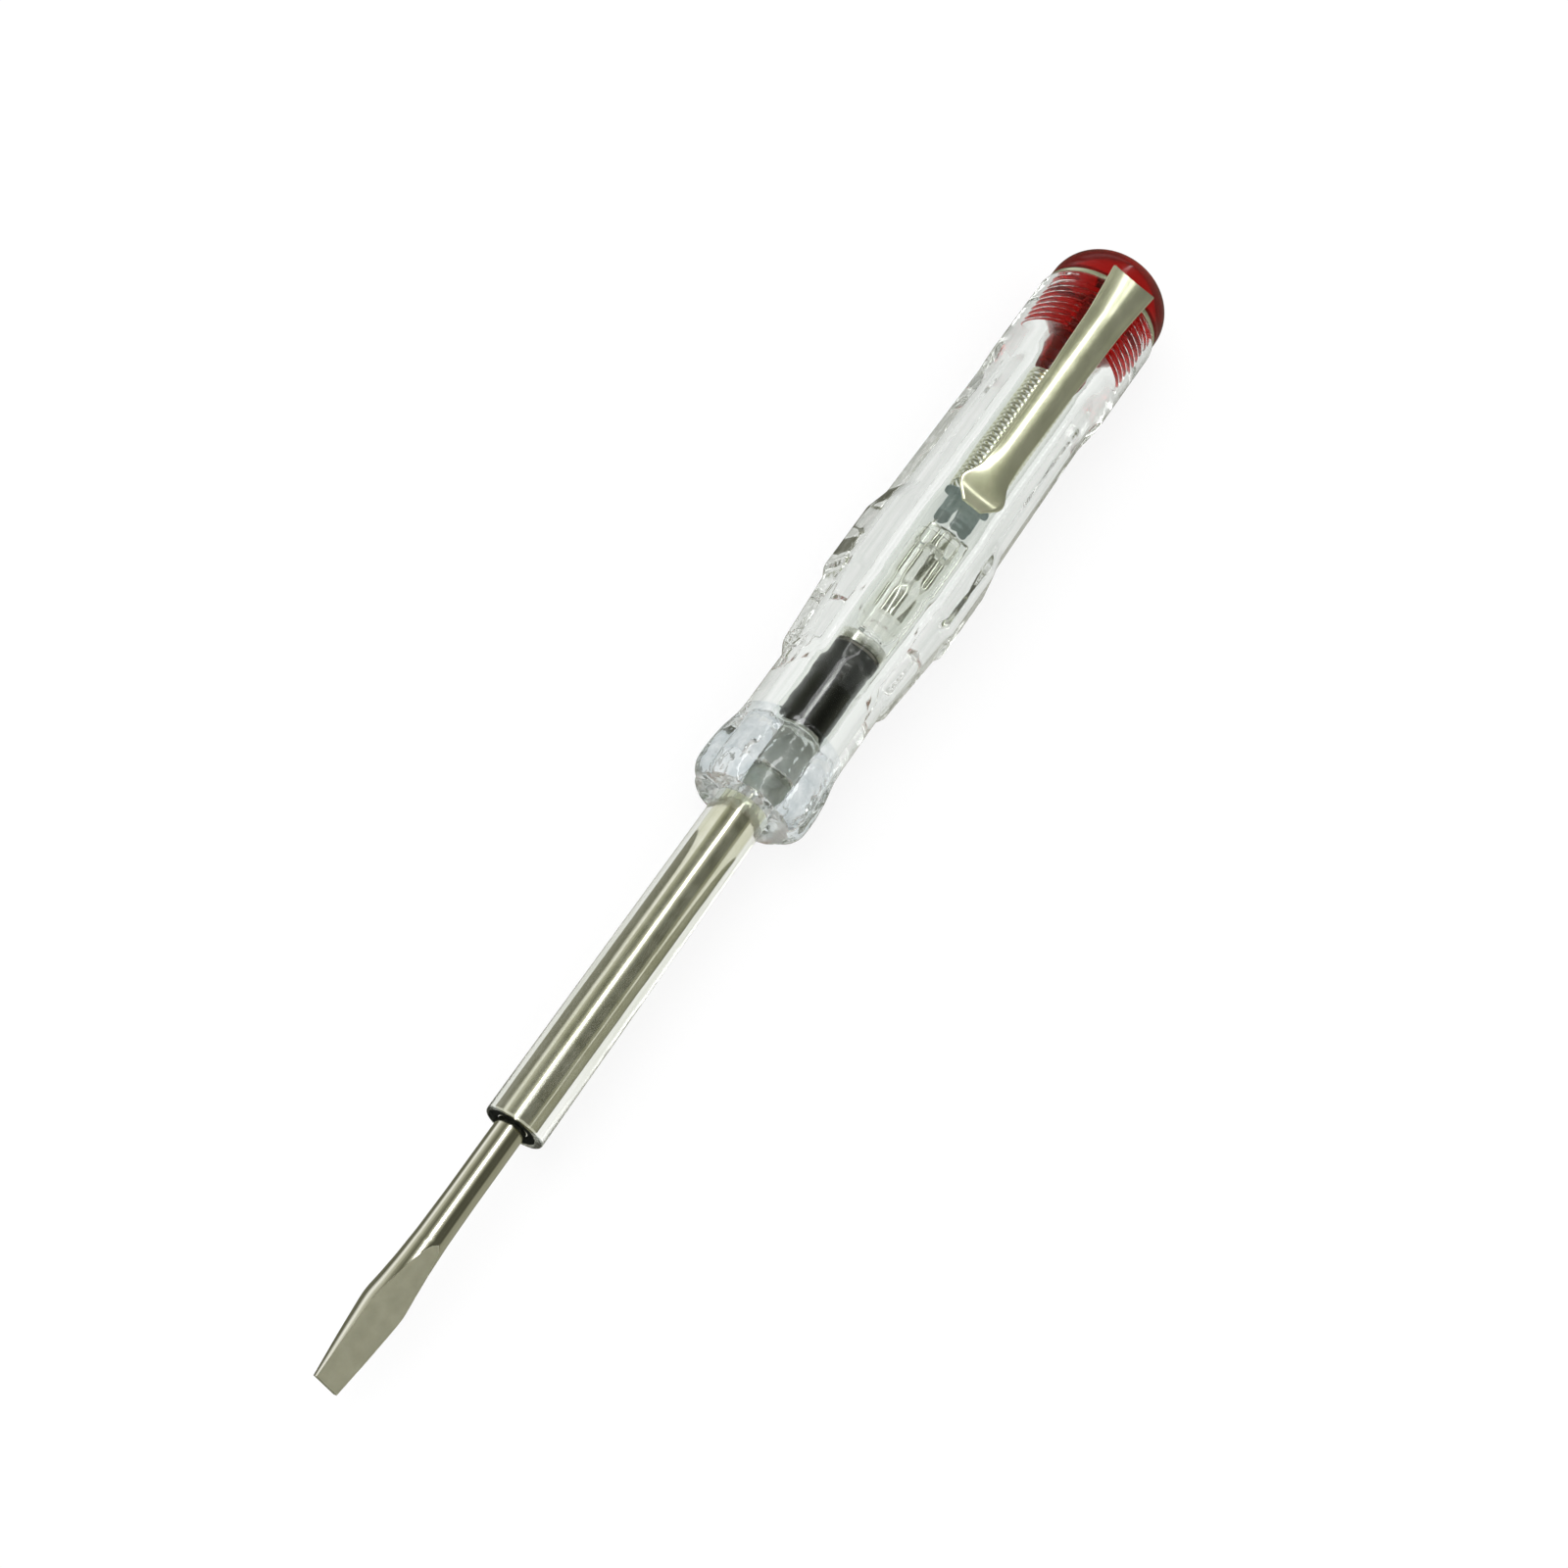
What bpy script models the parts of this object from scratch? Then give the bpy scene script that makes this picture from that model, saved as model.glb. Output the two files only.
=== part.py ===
"""Voltage tester screwdriver: a 140 mm neon tester with a clear handle, a clear sleeve and a pocket clip.

The pieces are modelled along one straight tool axis. A distance along the tool is measured from the
blade's tip, in metres. The finished tool lies along X with its tip at -X and its cap at +X, the clip
on top, and its lowest facet on the ground plane.
"""

import math

import bmesh
import bpy
from mathutils import Vector

# Clearances
SEAT_GAP = 0.0003
CLAMP_GAP = 0.0002
WIRE_GAP = 0.0002
CUT_OVERRUN = 0.0005

# Blade: a round rod, flattened at the tip and pressed out into two wings at the root
ROD_DIAMETER = 0.0030
TIP_WIDTH = 0.00285
TIP_THICKNESS = 0.0005
SHOULDER_AT = 0.0084
SHOULDER_WIDTH = 0.0042
SHOULDER_THICKNESS = 0.0015
RUNOUT_AT = 0.0154
WING_WIDTH = 0.0048
WING_THICKNESS = 0.0011
WING_LENGTH = 0.0034
WING_SLOPE = 0.0007
WIDEST_FLAT_DEGREES = 75.0
BLADE_ROLL_DEGREES = 27.5

# Insulating sleeve over the rod
SLEEVE_FRONT_AT = 0.0280
SLEEVE_FRONT_DIAMETER = 0.0060
SLEEVE_REAR_DIAMETER = 0.0056
SLEEVE_EDGE = 0.0005
SLEEVE_INSET = 0.0037

# Handle: a lobed bulb, a neck, a swell between two steps, a straight grip and a round collar
HANDLE_FRONT_AT = 0.0663
BULB_RADIUS = 0.0063
LOBE_DEPTH = 0.0006
BULB_LENGTH = 0.0091
NECK_LENGTH = 0.0068
FIRST_STEP_LENGTH = 0.0014
FOREGRIP_LENGTH = 0.0082
SECOND_STEP_LENGTH = 0.0011
SWELL_LENGTH = 0.0080
THIRD_STEP_LENGTH = 0.0026
GRIP_LENGTH = 0.0181
FLARE_LENGTH = 0.0026
COLLAR_LENGTH = 0.0106
RIM_BEVEL = 0.0003
NECK_RADIUS = 0.00558
STEPPED_FLAT = 0.00590
STEPPED_CORNER = 0.00635
FOREGRIP_FLAT = 0.00655
FOREGRIP_CORNER = 0.00690
SWELL_FLAT = 0.00695
SWELL_CORNER = 0.00745
GRIP_FRONT_FLAT = 0.00640
GRIP_FRONT_CORNER = 0.00680
GRIP_REAR_FLAT = 0.00615
GRIP_REAR_CORNER = 0.00660
COLLAR_RADIUS = 0.00675
LOBE_COUNT = 8
FACET_COUNT = 7
LEAST_FACET_SHARE = 0.25
EVEN_FACET_SHARE = 0.75
WIDEST_FACET_SHARE = 0.94
CORE_LENGTH = 0.0083
BORE_DIAMETER = 0.0058

# Resistor: a ceramic rod with a pressed metal cap on each end and a lacquer coat between them
RESISTOR_DIAMETER = 0.0049
RESISTOR_CORE_DIAMETER = 0.0037
FRONT_FERRULE_LENGTH = 0.0009
REAR_FERRULE_LENGTH = 0.0012
FERRULE_WALL = 0.0003
COAT_LENGTH = 0.0093

# Neon lamp: a glass tube closed by a seal, with two electrodes on two lead wires
ENVELOPE_DIAMETER = 0.0040
ENVELOPE_WALL = 0.00035
ENVELOPE_LENGTH = 0.0122
NUB_LENGTH = 0.0006
SEAL_LENGTH = 0.0026
SEAL_INSET = 0.0012
SEAL_TAPER = 0.00015
ELECTRODE_DIAMETER = 0.0007
ELECTRODE_LENGTH = 0.0078
ELECTRODE_SPACING = 0.0013
LEAD_DIAMETER = 0.00035

# Conductive slug and spring behind the lamp
SLUG_DIAMETER = 0.0022
SLUG_NOSE_DIAMETER = 0.0014
SLUG_NOSE_LENGTH = 0.0005
SLUG_LENGTH = 0.0033
FLANGE_DIAMETER = 0.0046
FLANGE_THICKNESS = 0.0004
SPRING_DIAMETER = 0.0046
SPRING_WIRE = 0.00042
SPRING_TURNS = 18
POINTS_PER_CURL = 9

# Cap: a nose against the spring, a threaded shank and a domed head
NOSE_DIAMETER = 0.0052
NOSE_LENGTH = 0.0036
SHOULDER_CONE_LENGTH = 0.0009
THREAD_MAJOR_SHARE = 0.593
THREAD_DEPTH = 0.0005
THREAD_PITCH = 0.0008
THREAD_TURNS = 6
MOUTH_OPENING_SHARE = 0.75
HEAD_INSET = 0.0003
HEAD_RIM_LENGTH = 0.0005
HEAD_LENGTH = 0.0062

# Clip: a stamped washer with a tab, and the arm that springs from it
RING_THICKNESS = 0.0004
RING_INSET = 0.00025
TAB_WIDTH = 0.0040
ARM_LENGTH = 0.0322
ARM_THICKNESS = 0.0004
ARM_FRONT_HALF_WIDTH = 0.0016
ARM_HALF_WIDTH = 0.0021
ARM_REAR_HALF_WIDTH = 0.00265
ARM_STANDOFF = 0.00115
ARM_CROWN = 0.0006
ARM_END_HOLLOW = 0.0005
FLARE_REACH = 0.0060
SPOON_LENGTH = 0.0044
SPOON_HALF_WIDTH = 0.0028
SPOON_LIP_HALF_WIDTH = 0.0012
SPOON_LIP_RISE = 0.0005

# Contact strip: carries the current along the cap from the spring to the clip's washer
STRIP_WIDTH = 0.0012
STRIP_THICKNESS = 0.0003
STRIP_FOOT_INSET = 0.00135

# Mesh resolution
ROUND_SEGMENTS = 28
FACET_STEPS = 8
LOBE_STEPS = 7
WIRE_SIDES = 8
LAMP_END_STEPS = 3
DOME_STEPS = 7
DOME_STEP_DEGREES = 13.0
SMOOTH_ANGLE_DEGREES = 32.0

# Widths that follow the collar
THREAD_MAJOR = 2 * COLLAR_RADIUS * THREAD_MAJOR_SHARE
THREAD_MINOR = THREAD_MAJOR - 2 * THREAD_DEPTH
HEAD_RADIUS = COLLAR_RADIUS - HEAD_INSET
STRIP_FOOT_RADIUS = COLLAR_RADIUS - STRIP_FOOT_INSET

# Places along the tool, each worked out from the sizes above
SLEEVE_REAR_AT = HANDLE_FRONT_AT + SLEEVE_INSET
NECK_AT = HANDLE_FRONT_AT + BULB_LENGTH
FIRST_STEP_AT = NECK_AT + NECK_LENGTH
FOREGRIP_AT = FIRST_STEP_AT + FIRST_STEP_LENGTH
SECOND_STEP_AT = FOREGRIP_AT + FOREGRIP_LENGTH
SWELL_AT = SECOND_STEP_AT + SECOND_STEP_LENGTH
THIRD_STEP_AT = SWELL_AT + SWELL_LENGTH
GRIP_AT = THIRD_STEP_AT + THIRD_STEP_LENGTH
FLARE_AT = GRIP_AT + GRIP_LENGTH
COLLAR_AT = FLARE_AT + FLARE_LENGTH
HANDLE_REAR_AT = COLLAR_AT + COLLAR_LENGTH
BORE_AT = HANDLE_FRONT_AT + CORE_LENGTH
ROOT_END_AT = BORE_AT + SEAT_GAP
RESISTOR_AT = ROOT_END_AT + SEAT_GAP
COAT_AT = RESISTOR_AT + FRONT_FERRULE_LENGTH + SEAT_GAP
REAR_FERRULE_AT = COAT_AT + COAT_LENGTH + SEAT_GAP
RESISTOR_END_AT = REAR_FERRULE_AT + REAR_FERRULE_LENGTH
NUB_AT = RESISTOR_END_AT + LEAD_DIAMETER + WIRE_GAP + WIRE_GAP
ENVELOPE_AT = NUB_AT + NUB_LENGTH
ENVELOPE_END_AT = ENVELOPE_AT + ENVELOPE_LENGTH
SEAL_AT = ENVELOPE_END_AT - SEAL_INSET
SEAL_END_AT = SEAL_AT + SEAL_LENGTH
ELECTRODE_END_AT = SEAL_AT - SEAT_GAP
SLUG_AT = SEAL_END_AT + LEAD_DIAMETER + LEAD_DIAMETER + SEAT_GAP
SLUG_END_AT = SLUG_AT + SLUG_LENGTH
RING_AT = HANDLE_REAR_AT + CLAMP_GAP
RING_END_AT = RING_AT + RING_THICKNESS
HEAD_AT = RING_END_AT + CLAMP_GAP
TOOL_LENGTH = HEAD_AT + HEAD_LENGTH
THREAD_END_AT = HANDLE_REAR_AT - SEAT_GAP
THREAD_AT = THREAD_END_AT - THREAD_PITCH * THREAD_TURNS
NOSE_AT = THREAD_AT - SHOULDER_CONE_LENGTH - NOSE_LENGTH
STRIP_FRONT_AT = NOSE_AT - SEAT_GAP - STRIP_THICKNESS
SPRING_AT = SLUG_END_AT + SEAT_GAP
SPRING_END_AT = STRIP_FRONT_AT - SEAT_GAP
AXIS_HEIGHT = SWELL_FLAT
ARM_UNDERSIDE_HEIGHT = COLLAR_RADIUS + ARM_STANDOFF
ARM_HINGE_AT = RING_AT + RING_THICKNESS / 2


def clear_scene():
    """Take out whatever the scene holds."""
    for old in list(bpy.data.objects):
        bpy.data.objects.remove(old, do_unlink=True)


def make_material(name, color, roughness, metallic=0.0, transmission=0.0):
    """A Principled material with one colour."""
    material = bpy.data.materials.new(name)
    material.use_nodes = True
    shader = material.node_tree.nodes["Principled BSDF"]
    shader.inputs["Base Color"].default_value = (*color, 1.0)
    shader.inputs["Roughness"].default_value = roughness
    shader.inputs["Metallic"].default_value = metallic
    shader.inputs["Transmission Weight"].default_value = transmission
    material.diffuse_color = (*color, 1.0)
    return material


def polar(along, radius, angle):
    """A point at a distance along the tool, out from its axis.

    Angle 0 is up and a quarter turn is -Y, so that angles follow the right-hand rule about +X, and a
    helix that climbs with its angle is right handed.
    """
    return Vector((along, -radius * math.sin(angle), radius * math.cos(angle)))


def circle(along, radius, segments=ROUND_SEGMENTS):
    """The points of one turned ring."""
    return [polar(along, radius, math.tau * step / segments) for step in range(segments)]


class Shell:
    """A closed skin that is laid down ring by ring."""

    def __init__(self):
        self.mesh = bmesh.new()

    def ring(self, points):
        """Add one ring of corners and return it."""
        return [self.mesh.verts.new(point) for point in points]

    def bridge(self, first, second):
        """Join two rings of the same count with quads."""
        for here in range(len(first)):
            after = (here + 1) % len(first)
            self.mesh.faces.new((first[here], first[after], second[after], second[here]))

    def bridge_double(self, fine, coarse):
        """Join a ring to one with half its corners that lies in the same plane."""
        for here in range(len(coarse)):
            after = (here + 1) % len(coarse)
            start = 2 * here
            corners = (fine[start], fine[start + 1], fine[(start + 2) % len(fine)])
            self.mesh.faces.new((*corners, coarse[after], coarse[here]))

    def close(self, ring):
        """Fill the inside of a ring."""
        self.mesh.faces.new(ring)

    def point(self, ring, tip):
        """Close a ring with a fan to one corner."""
        end = self.mesh.verts.new(tip)
        for here in range(len(ring)):
            self.mesh.faces.new((ring[here], ring[(here + 1) % len(ring)], end))

    def stack(self, rings):
        """Add rings and join each to the next. Returns the first and the last."""
        made = [self.ring(points) for points in rings]
        for first, second in zip(made, made[1:]):
            self.bridge(first, second)
        return made[0], made[-1]

    def thread(self, start_ring, end_ring, first_at, turns, minor, major, open_end=False):
        """Wind a V thread from one ring to another as an unbroken ridge.

        An open end lets a nut's groove run out at its mouth, so that the screw's ridge can leave it.
        """
        count = len(start_ring)
        steps = count * turns
        valley = []
        crest = []
        for step in range(steps + count + 1):
            angle = math.tau * step / count
            along = first_at + THREAD_PITCH * step / count
            runout_share = min(max(step - steps + MOUTH_OPENING_SHARE, 0.0), 1.0) if open_end else 0.0
            radius = minor + (major - minor) * runout_share
            valley.append(self.mesh.verts.new(polar(along, radius, angle)))
            if step <= steps:
                crest.append(self.mesh.verts.new(polar(along + THREAD_PITCH / 2, major, angle)))
        for step in range(steps):
            self.mesh.faces.new((valley[step], valley[step + 1], crest[step + 1], crest[step]))
            behind = valley[step + count]
            self.mesh.faces.new((crest[step], crest[step + 1], valley[step + count + 1], behind))
        for step in range(count - 1):
            self.mesh.faces.new((start_ring[step], start_ring[step + 1], valley[step + 1], valley[step]))
        seam = (start_ring[count - 1], start_ring[0], valley[0], valley[count], valley[count - 1])
        self.mesh.faces.new(seam)
        last = valley[steps:]
        self.mesh.faces.new((last[0], last[1], end_ring[1], end_ring[0], last[count]))
        for step in range(1, count):
            after = (step + 1) % count
            self.mesh.faces.new((last[step], last[step + 1], end_ring[after], end_ring[step]))
        self.mesh.faces.new((valley[0], crest[0], valley[count]))
        self.mesh.faces.new((last[0], crest[steps], last[count]))

    def finish(self, name, parent, material):
        """Turn the skin into an object under a parent empty."""
        bmesh.ops.recalc_face_normals(self.mesh, faces=self.mesh.faces)
        mesh = bpy.data.meshes.new(name)
        self.mesh.to_mesh(mesh)
        self.mesh.free()
        return place(name, mesh, parent, material)


def place(name, data, parent, material):
    """Link an object, shade it and hang it from its empty."""
    piece = bpy.data.objects.new(name, data)
    bpy.context.scene.collection.objects.link(piece)
    piece.parent = parent
    data.materials.append(material)
    if isinstance(data, bpy.types.Mesh):
        data.shade_smooth()
        data.set_sharp_from_angle(angle=math.radians(SMOOTH_ANGLE_DEGREES))
    return piece


def make_empty(name, location, parent=None):
    """An empty that carries pieces."""
    empty = bpy.data.objects.new(name, None)
    empty.location = location
    empty.empty_display_size = BULB_RADIUS
    empty.parent = parent
    bpy.context.scene.collection.objects.link(empty)
    return empty


def combine(target, guide, operation):
    """Cut a guide out of a piece, or weld it on, and keep it as a wire shape."""
    guide.hide_render = True
    guide.display_type = "WIRE"
    step = target.modifiers.new(guide.name, "BOOLEAN")
    step.operation = operation
    step.solver = "EXACT"
    step.object = guide


def box_skin(name, parent, material, low, high):
    """A box between two corners."""
    shell = Shell()
    corners = ((low[1], low[2]), (high[1], low[2]), (high[1], high[2]), (low[1], high[2]))
    front, rear = shell.stack([[Vector((along, y, z)) for y, z in corners] for along in (low[0], high[0])])
    shell.close(front)
    shell.close(rear)
    return shell.finish(name, parent, material)


def turned_solid(name, parent, material, outline, segments=ROUND_SEGMENTS):
    """A solid turned from an outline of distances and radii, closed at both ends."""
    shell = Shell()
    first, last = shell.stack([circle(along, radius, segments) for along, radius in outline])
    shell.close(first)
    shell.close(last)
    return shell.finish(name, parent, material)


def turned_tube(name, parent, material, outline, segments=ROUND_SEGMENTS):
    """A tube turned from a closed outline of distances and radii."""
    shell = Shell()
    first, last = shell.stack([circle(along, radius, segments) for along, radius in outline])
    shell.bridge(last, first)
    return shell.finish(name, parent, material)


def wire(name, parent, material, points, diameter, side_resolution=2):
    """A round wire along a list of points."""
    curve = bpy.data.curves.new(name, "CURVE")
    curve.dimensions = "3D"
    curve.bevel_depth = diameter / 2
    curve.bevel_resolution = side_resolution
    curve.use_fill_caps = True
    spline = curve.splines.new("POLY")
    spline.points.add(len(points) - 1)
    for spot, point in zip(spline.points, points):
        spot.co = (*point, 1.0)
    return place(name, curve, parent, material)


def flattened_ring(along, width, thickness):
    """A circle of the given width with two flats cut across it, starting at one side."""
    radius = width / 2
    half = thickness / 2
    edge = min(math.asin(min(half / radius, 1.0)), math.radians(WIDEST_FLAT_DEGREES))
    side_angles = (0.0, edge / 2, edge)
    quarter = [(radius * math.cos(angle), radius * math.sin(angle)) for angle in side_angles]
    flat_start = radius * math.cos(edge)
    quarter.append((flat_start / 2, min(half, math.sqrt(radius**2 - (flat_start / 2) ** 2))))
    top = [(0.0, min(half, radius))]
    outline = quarter + top
    outline += [(-across, up) for across, up in reversed(quarter)]
    outline += [(-across, -up) for across, up in quarter[1:]]
    outline += [(0.0, -min(half, radius))]
    outline += [(across, -up) for across, up in reversed(quarter[1:])]
    return [Vector((along, across, up)) for across, up in outline]


def build_blade(parent, steel):
    """Tip, rod and winged root in one length."""
    wing_end = BORE_AT - SEAT_GAP
    wing_at = wing_end - WING_LENGTH
    half_way = (SHOULDER_AT + RUNOUT_AT) / 2
    half_way_width = (SHOULDER_WIDTH + ROD_DIAMETER) / 2
    half_way_thickness = (SHOULDER_THICKNESS + ROD_DIAMETER) / 2
    sections = [
        (0.0, TIP_WIDTH, TIP_THICKNESS),
        (SHOULDER_AT, SHOULDER_WIDTH, SHOULDER_THICKNESS),
        (half_way, half_way_width, half_way_thickness),
        (RUNOUT_AT, ROD_DIAMETER, ROD_DIAMETER),
        (wing_at - WING_SLOPE, ROD_DIAMETER, ROD_DIAMETER),
        (wing_at, WING_WIDTH, WING_THICKNESS),
        (wing_end - WING_SLOPE, WING_WIDTH, WING_THICKNESS),
        (wing_end, ROD_DIAMETER, WING_THICKNESS),
        (ROOT_END_AT, ROD_DIAMETER, WING_THICKNESS),
    ]
    shell = Shell()
    first, last = shell.stack([flattened_ring(*section) for section in sections])
    shell.close(first)
    shell.close(last)
    blade = shell.finish("blade", parent, steel)
    blade.rotation_euler.x = math.radians(BLADE_ROLL_DEGREES)
    return blade


def build_sleeve(parent, clear_soft):
    """Clear tube, rounded at its front end and seated in the handle."""
    inner = ROD_DIAMETER / 2 + SEAT_GAP
    front = SLEEVE_FRONT_DIAMETER / 2
    rear = SLEEVE_REAR_DIAMETER / 2
    outline = [
        (SLEEVE_FRONT_AT, inner),
        (SLEEVE_FRONT_AT, front - SLEEVE_EDGE),
        (SLEEVE_FRONT_AT + SLEEVE_EDGE, front),
        (SLEEVE_REAR_AT, rear),
        (SLEEVE_REAR_AT, inner),
    ]
    return turned_tube("insulating_sleeve", parent, clear_soft, outline)


def facet_ring(along, flat, corner):
    """A section of flats with turned corners, from the top corner on.

    The flats end where the corner circle cuts them.
    """
    half_pitch = math.pi / FACET_COUNT
    reach = math.acos(flat / corner) if flat < corner else half_pitch * EVEN_FACET_SHARE
    reach = min(max(reach, half_pitch * LEAST_FACET_SHARE), half_pitch * WIDEST_FACET_SHARE)
    points = []
    for facet in range(FACET_COUNT):
        middle = half_pitch * (2 * facet + 1)
        points.append(polar(along, min(flat / math.cos(half_pitch), corner), middle - half_pitch))
        for step in range(1, FACET_STEPS):
            away = reach * (2 * (step - 1) / (FACET_STEPS - 2) - 1)
            points.append(polar(along, min(flat / math.cos(away), corner), middle + away))
    return points


def lobe_ring(along, crown, depth):
    """A section of rounded lobes that meet in valleys, from the top lobe's middle on."""
    points = []
    for lobe in range(LOBE_COUNT):
        for step in range(LOBE_STEPS):
            turn_share = step / LOBE_STEPS
            away_share = 2 * min(turn_share, 1 - turn_share)
            angle = math.tau * (lobe + turn_share) / LOBE_COUNT
            points.append(polar(along, crown - depth * away_share**2, angle))
    return points


def facet_stations():
    """Where the handle's faceted stretches change, each with its height to the flat and to the corner."""
    return [
        (NECK_AT, NECK_RADIUS, NECK_RADIUS),
        (FIRST_STEP_AT, NECK_RADIUS, NECK_RADIUS),
        (FOREGRIP_AT, STEPPED_FLAT, STEPPED_CORNER),
        (SECOND_STEP_AT, FOREGRIP_FLAT, FOREGRIP_CORNER),
        (SWELL_AT, SWELL_FLAT, SWELL_CORNER),
        (THIRD_STEP_AT, SWELL_FLAT, SWELL_CORNER),
        (GRIP_AT, GRIP_FRONT_FLAT, GRIP_FRONT_CORNER),
        (FLARE_AT, GRIP_REAR_FLAT, GRIP_REAR_CORNER),
        (COLLAR_AT, COLLAR_RADIUS, COLLAR_RADIUS),
        (HANDLE_REAR_AT - RIM_BEVEL, COLLAR_RADIUS, COLLAR_RADIUS),
        (HANDLE_REAR_AT, COLLAR_RADIUS - RIM_BEVEL, COLLAR_RADIUS - RIM_BEVEL),
    ]


def handle_sections():
    """The handle's outer rings, front to rear."""
    bulb_shares = ((0.0, 0.84, 0.4), (0.05, 0.93, 0.7), (0.14, 0.985, 1.0), (0.30, 1.0, 1.1))
    bulb_shares += ((0.60, 0.97, 1.1), (0.78, 0.92, 0.9), (0.90, 0.895, 0.5))
    rings = []
    for length_share, radius_share, depth_share in bulb_shares:
        along = HANDLE_FRONT_AT + BULB_LENGTH * length_share
        rings.append(lobe_ring(along, BULB_RADIUS * radius_share, LOBE_DEPTH * depth_share))
    rings += [facet_ring(*station) for station in facet_stations()]
    return rings


def highest_corner(start, end):
    """The greatest height of the handle's top corner between two places along the tool."""
    stations = facet_stations()
    heights = [corner for along, _, corner in stations if start <= along <= end]
    for (near, _, near_corner), (far, _, far_corner) in zip(stations, stations[1:]):
        for place in (start, end):
            if near <= place <= far:
                heights.append(near_corner + (far_corner - near_corner) * (place - near) / (far - near))
    return max(heights)


def build_handle(parent, clear_hard):
    """Clear handle with a seat for the sleeve, a slot for the wings, a long bore and a threaded mouth."""
    bore = BORE_DIAMETER / 2
    rod_hole = ROD_DIAMETER / 2 + SEAT_GAP
    sleeve_seat = SLEEVE_REAR_DIAMETER / 2 + SEAT_GAP
    seat_end = SLEEVE_REAR_AT + SEAT_GAP
    mouth_minor = THREAD_MINOR / 2 + SEAT_GAP
    mouth_major = THREAD_MAJOR / 2 + SEAT_GAP
    groove_at = THREAD_AT - THREAD_PITCH
    cone_end = groove_at - SEAT_GAP
    shell = Shell()
    front, rear = shell.stack(handle_sections())
    mouth = shell.ring(circle(HANDLE_REAR_AT, mouth_major))
    shell.bridge_double(rear, mouth)
    inside = [
        (cone_end, mouth_minor),
        (cone_end - SHOULDER_CONE_LENGTH, bore),
        (BORE_AT, bore),
        (BORE_AT, rod_hole),
        (seat_end, rod_hole),
        (seat_end, sleeve_seat),
        (HANDLE_FRONT_AT, sleeve_seat),
    ]
    deep, opening = shell.stack([circle(along, radius) for along, radius in inside])
    shell.thread(deep, mouth, groove_at, THREAD_TURNS, mouth_minor, mouth_major, open_end=True)
    shell.bridge_double(front, opening)
    handle = shell.finish("handle", parent, clear_hard)
    half_width = WING_WIDTH / 2 + SEAT_GAP
    half_thickness = WING_THICKNESS / 2 + SEAT_GAP
    slot_at = BORE_AT - WING_LENGTH - SEAT_GAP - WING_SLOPE
    low = (slot_at, -half_width, -half_thickness)
    high = (BORE_AT + CUT_OVERRUN, half_width, half_thickness)
    slot = box_skin("wing_slot", parent, clear_hard, low, high)
    slot.rotation_euler.x = math.radians(BLADE_ROLL_DEGREES)
    combine(handle, slot, "DIFFERENCE")
    return handle


def build_ferrule(name, parent, metal, closed_at, length, facing):
    """A pressed metal cup. Facing is 1 when its mouth looks towards the cap, and -1 towards the tip."""
    outer = RESISTOR_DIAMETER / 2
    inner = outer - FERRULE_WALL
    mouth_at = closed_at + facing * length
    floor_at = closed_at + facing * FERRULE_WALL
    outline = [(floor_at, inner), (mouth_at, inner), (mouth_at, outer), (closed_at, outer)]
    return turned_solid(name, parent, metal, outline)


def build_resistor(parent, metal, ceramic, lacquer):
    """Ceramic rod, two ferrules and the lacquered body between them."""
    build_ferrule("resistor_front_ferrule", parent, metal, RESISTOR_AT, FRONT_FERRULE_LENGTH, 1)
    build_ferrule("resistor_rear_ferrule", parent, metal, RESISTOR_END_AT, REAR_FERRULE_LENGTH, -1)
    core = RESISTOR_CORE_DIAMETER / 2
    core_at = RESISTOR_AT + FERRULE_WALL + SEAT_GAP
    core_end = RESISTOR_END_AT - FERRULE_WALL - SEAT_GAP
    turned_solid("resistor_core", parent, ceramic, [(core_at, core), (core_end, core)])
    outer = RESISTOR_DIAMETER / 2
    inner = core + SEAT_GAP
    coat_end = COAT_AT + COAT_LENGTH
    outline = [(COAT_AT, inner), (COAT_AT, outer), (coat_end, outer), (coat_end, inner)]
    turned_tube("resistor_coat", parent, lacquer, outline)


def build_envelope(parent, glass):
    """Glass tube with a round front end and a sealed-off nub."""
    outer = ENVELOPE_DIAMETER / 2
    inner = outer - ENVELOPE_WALL
    shell = Shell()
    outside = [(NUB_AT, NUB_LENGTH / 2), (ENVELOPE_AT, NUB_LENGTH)]
    inside = []
    for step in range(1, LAMP_END_STEPS + 1):
        swing = math.pi / 2 * step / LAMP_END_STEPS
        outside.append((ENVELOPE_AT + outer * (1 - math.cos(swing)), outer * math.sin(swing)))
        hollow_at = ENVELOPE_AT + ENVELOPE_WALL + inner * (1 - math.cos(swing))
        inside.append((hollow_at, inner * math.sin(swing)))
    outline = outside + [(ENVELOPE_END_AT, outer), (ENVELOPE_END_AT, inner)] + inside[::-1]
    tip, hollow = shell.stack([circle(along, radius) for along, radius in outline])
    shell.close(tip)
    shell.point(hollow, Vector((ENVELOPE_AT + ENVELOPE_WALL, 0.0, 0.0)))
    return shell.finish("lamp_envelope", parent, glass)


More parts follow.
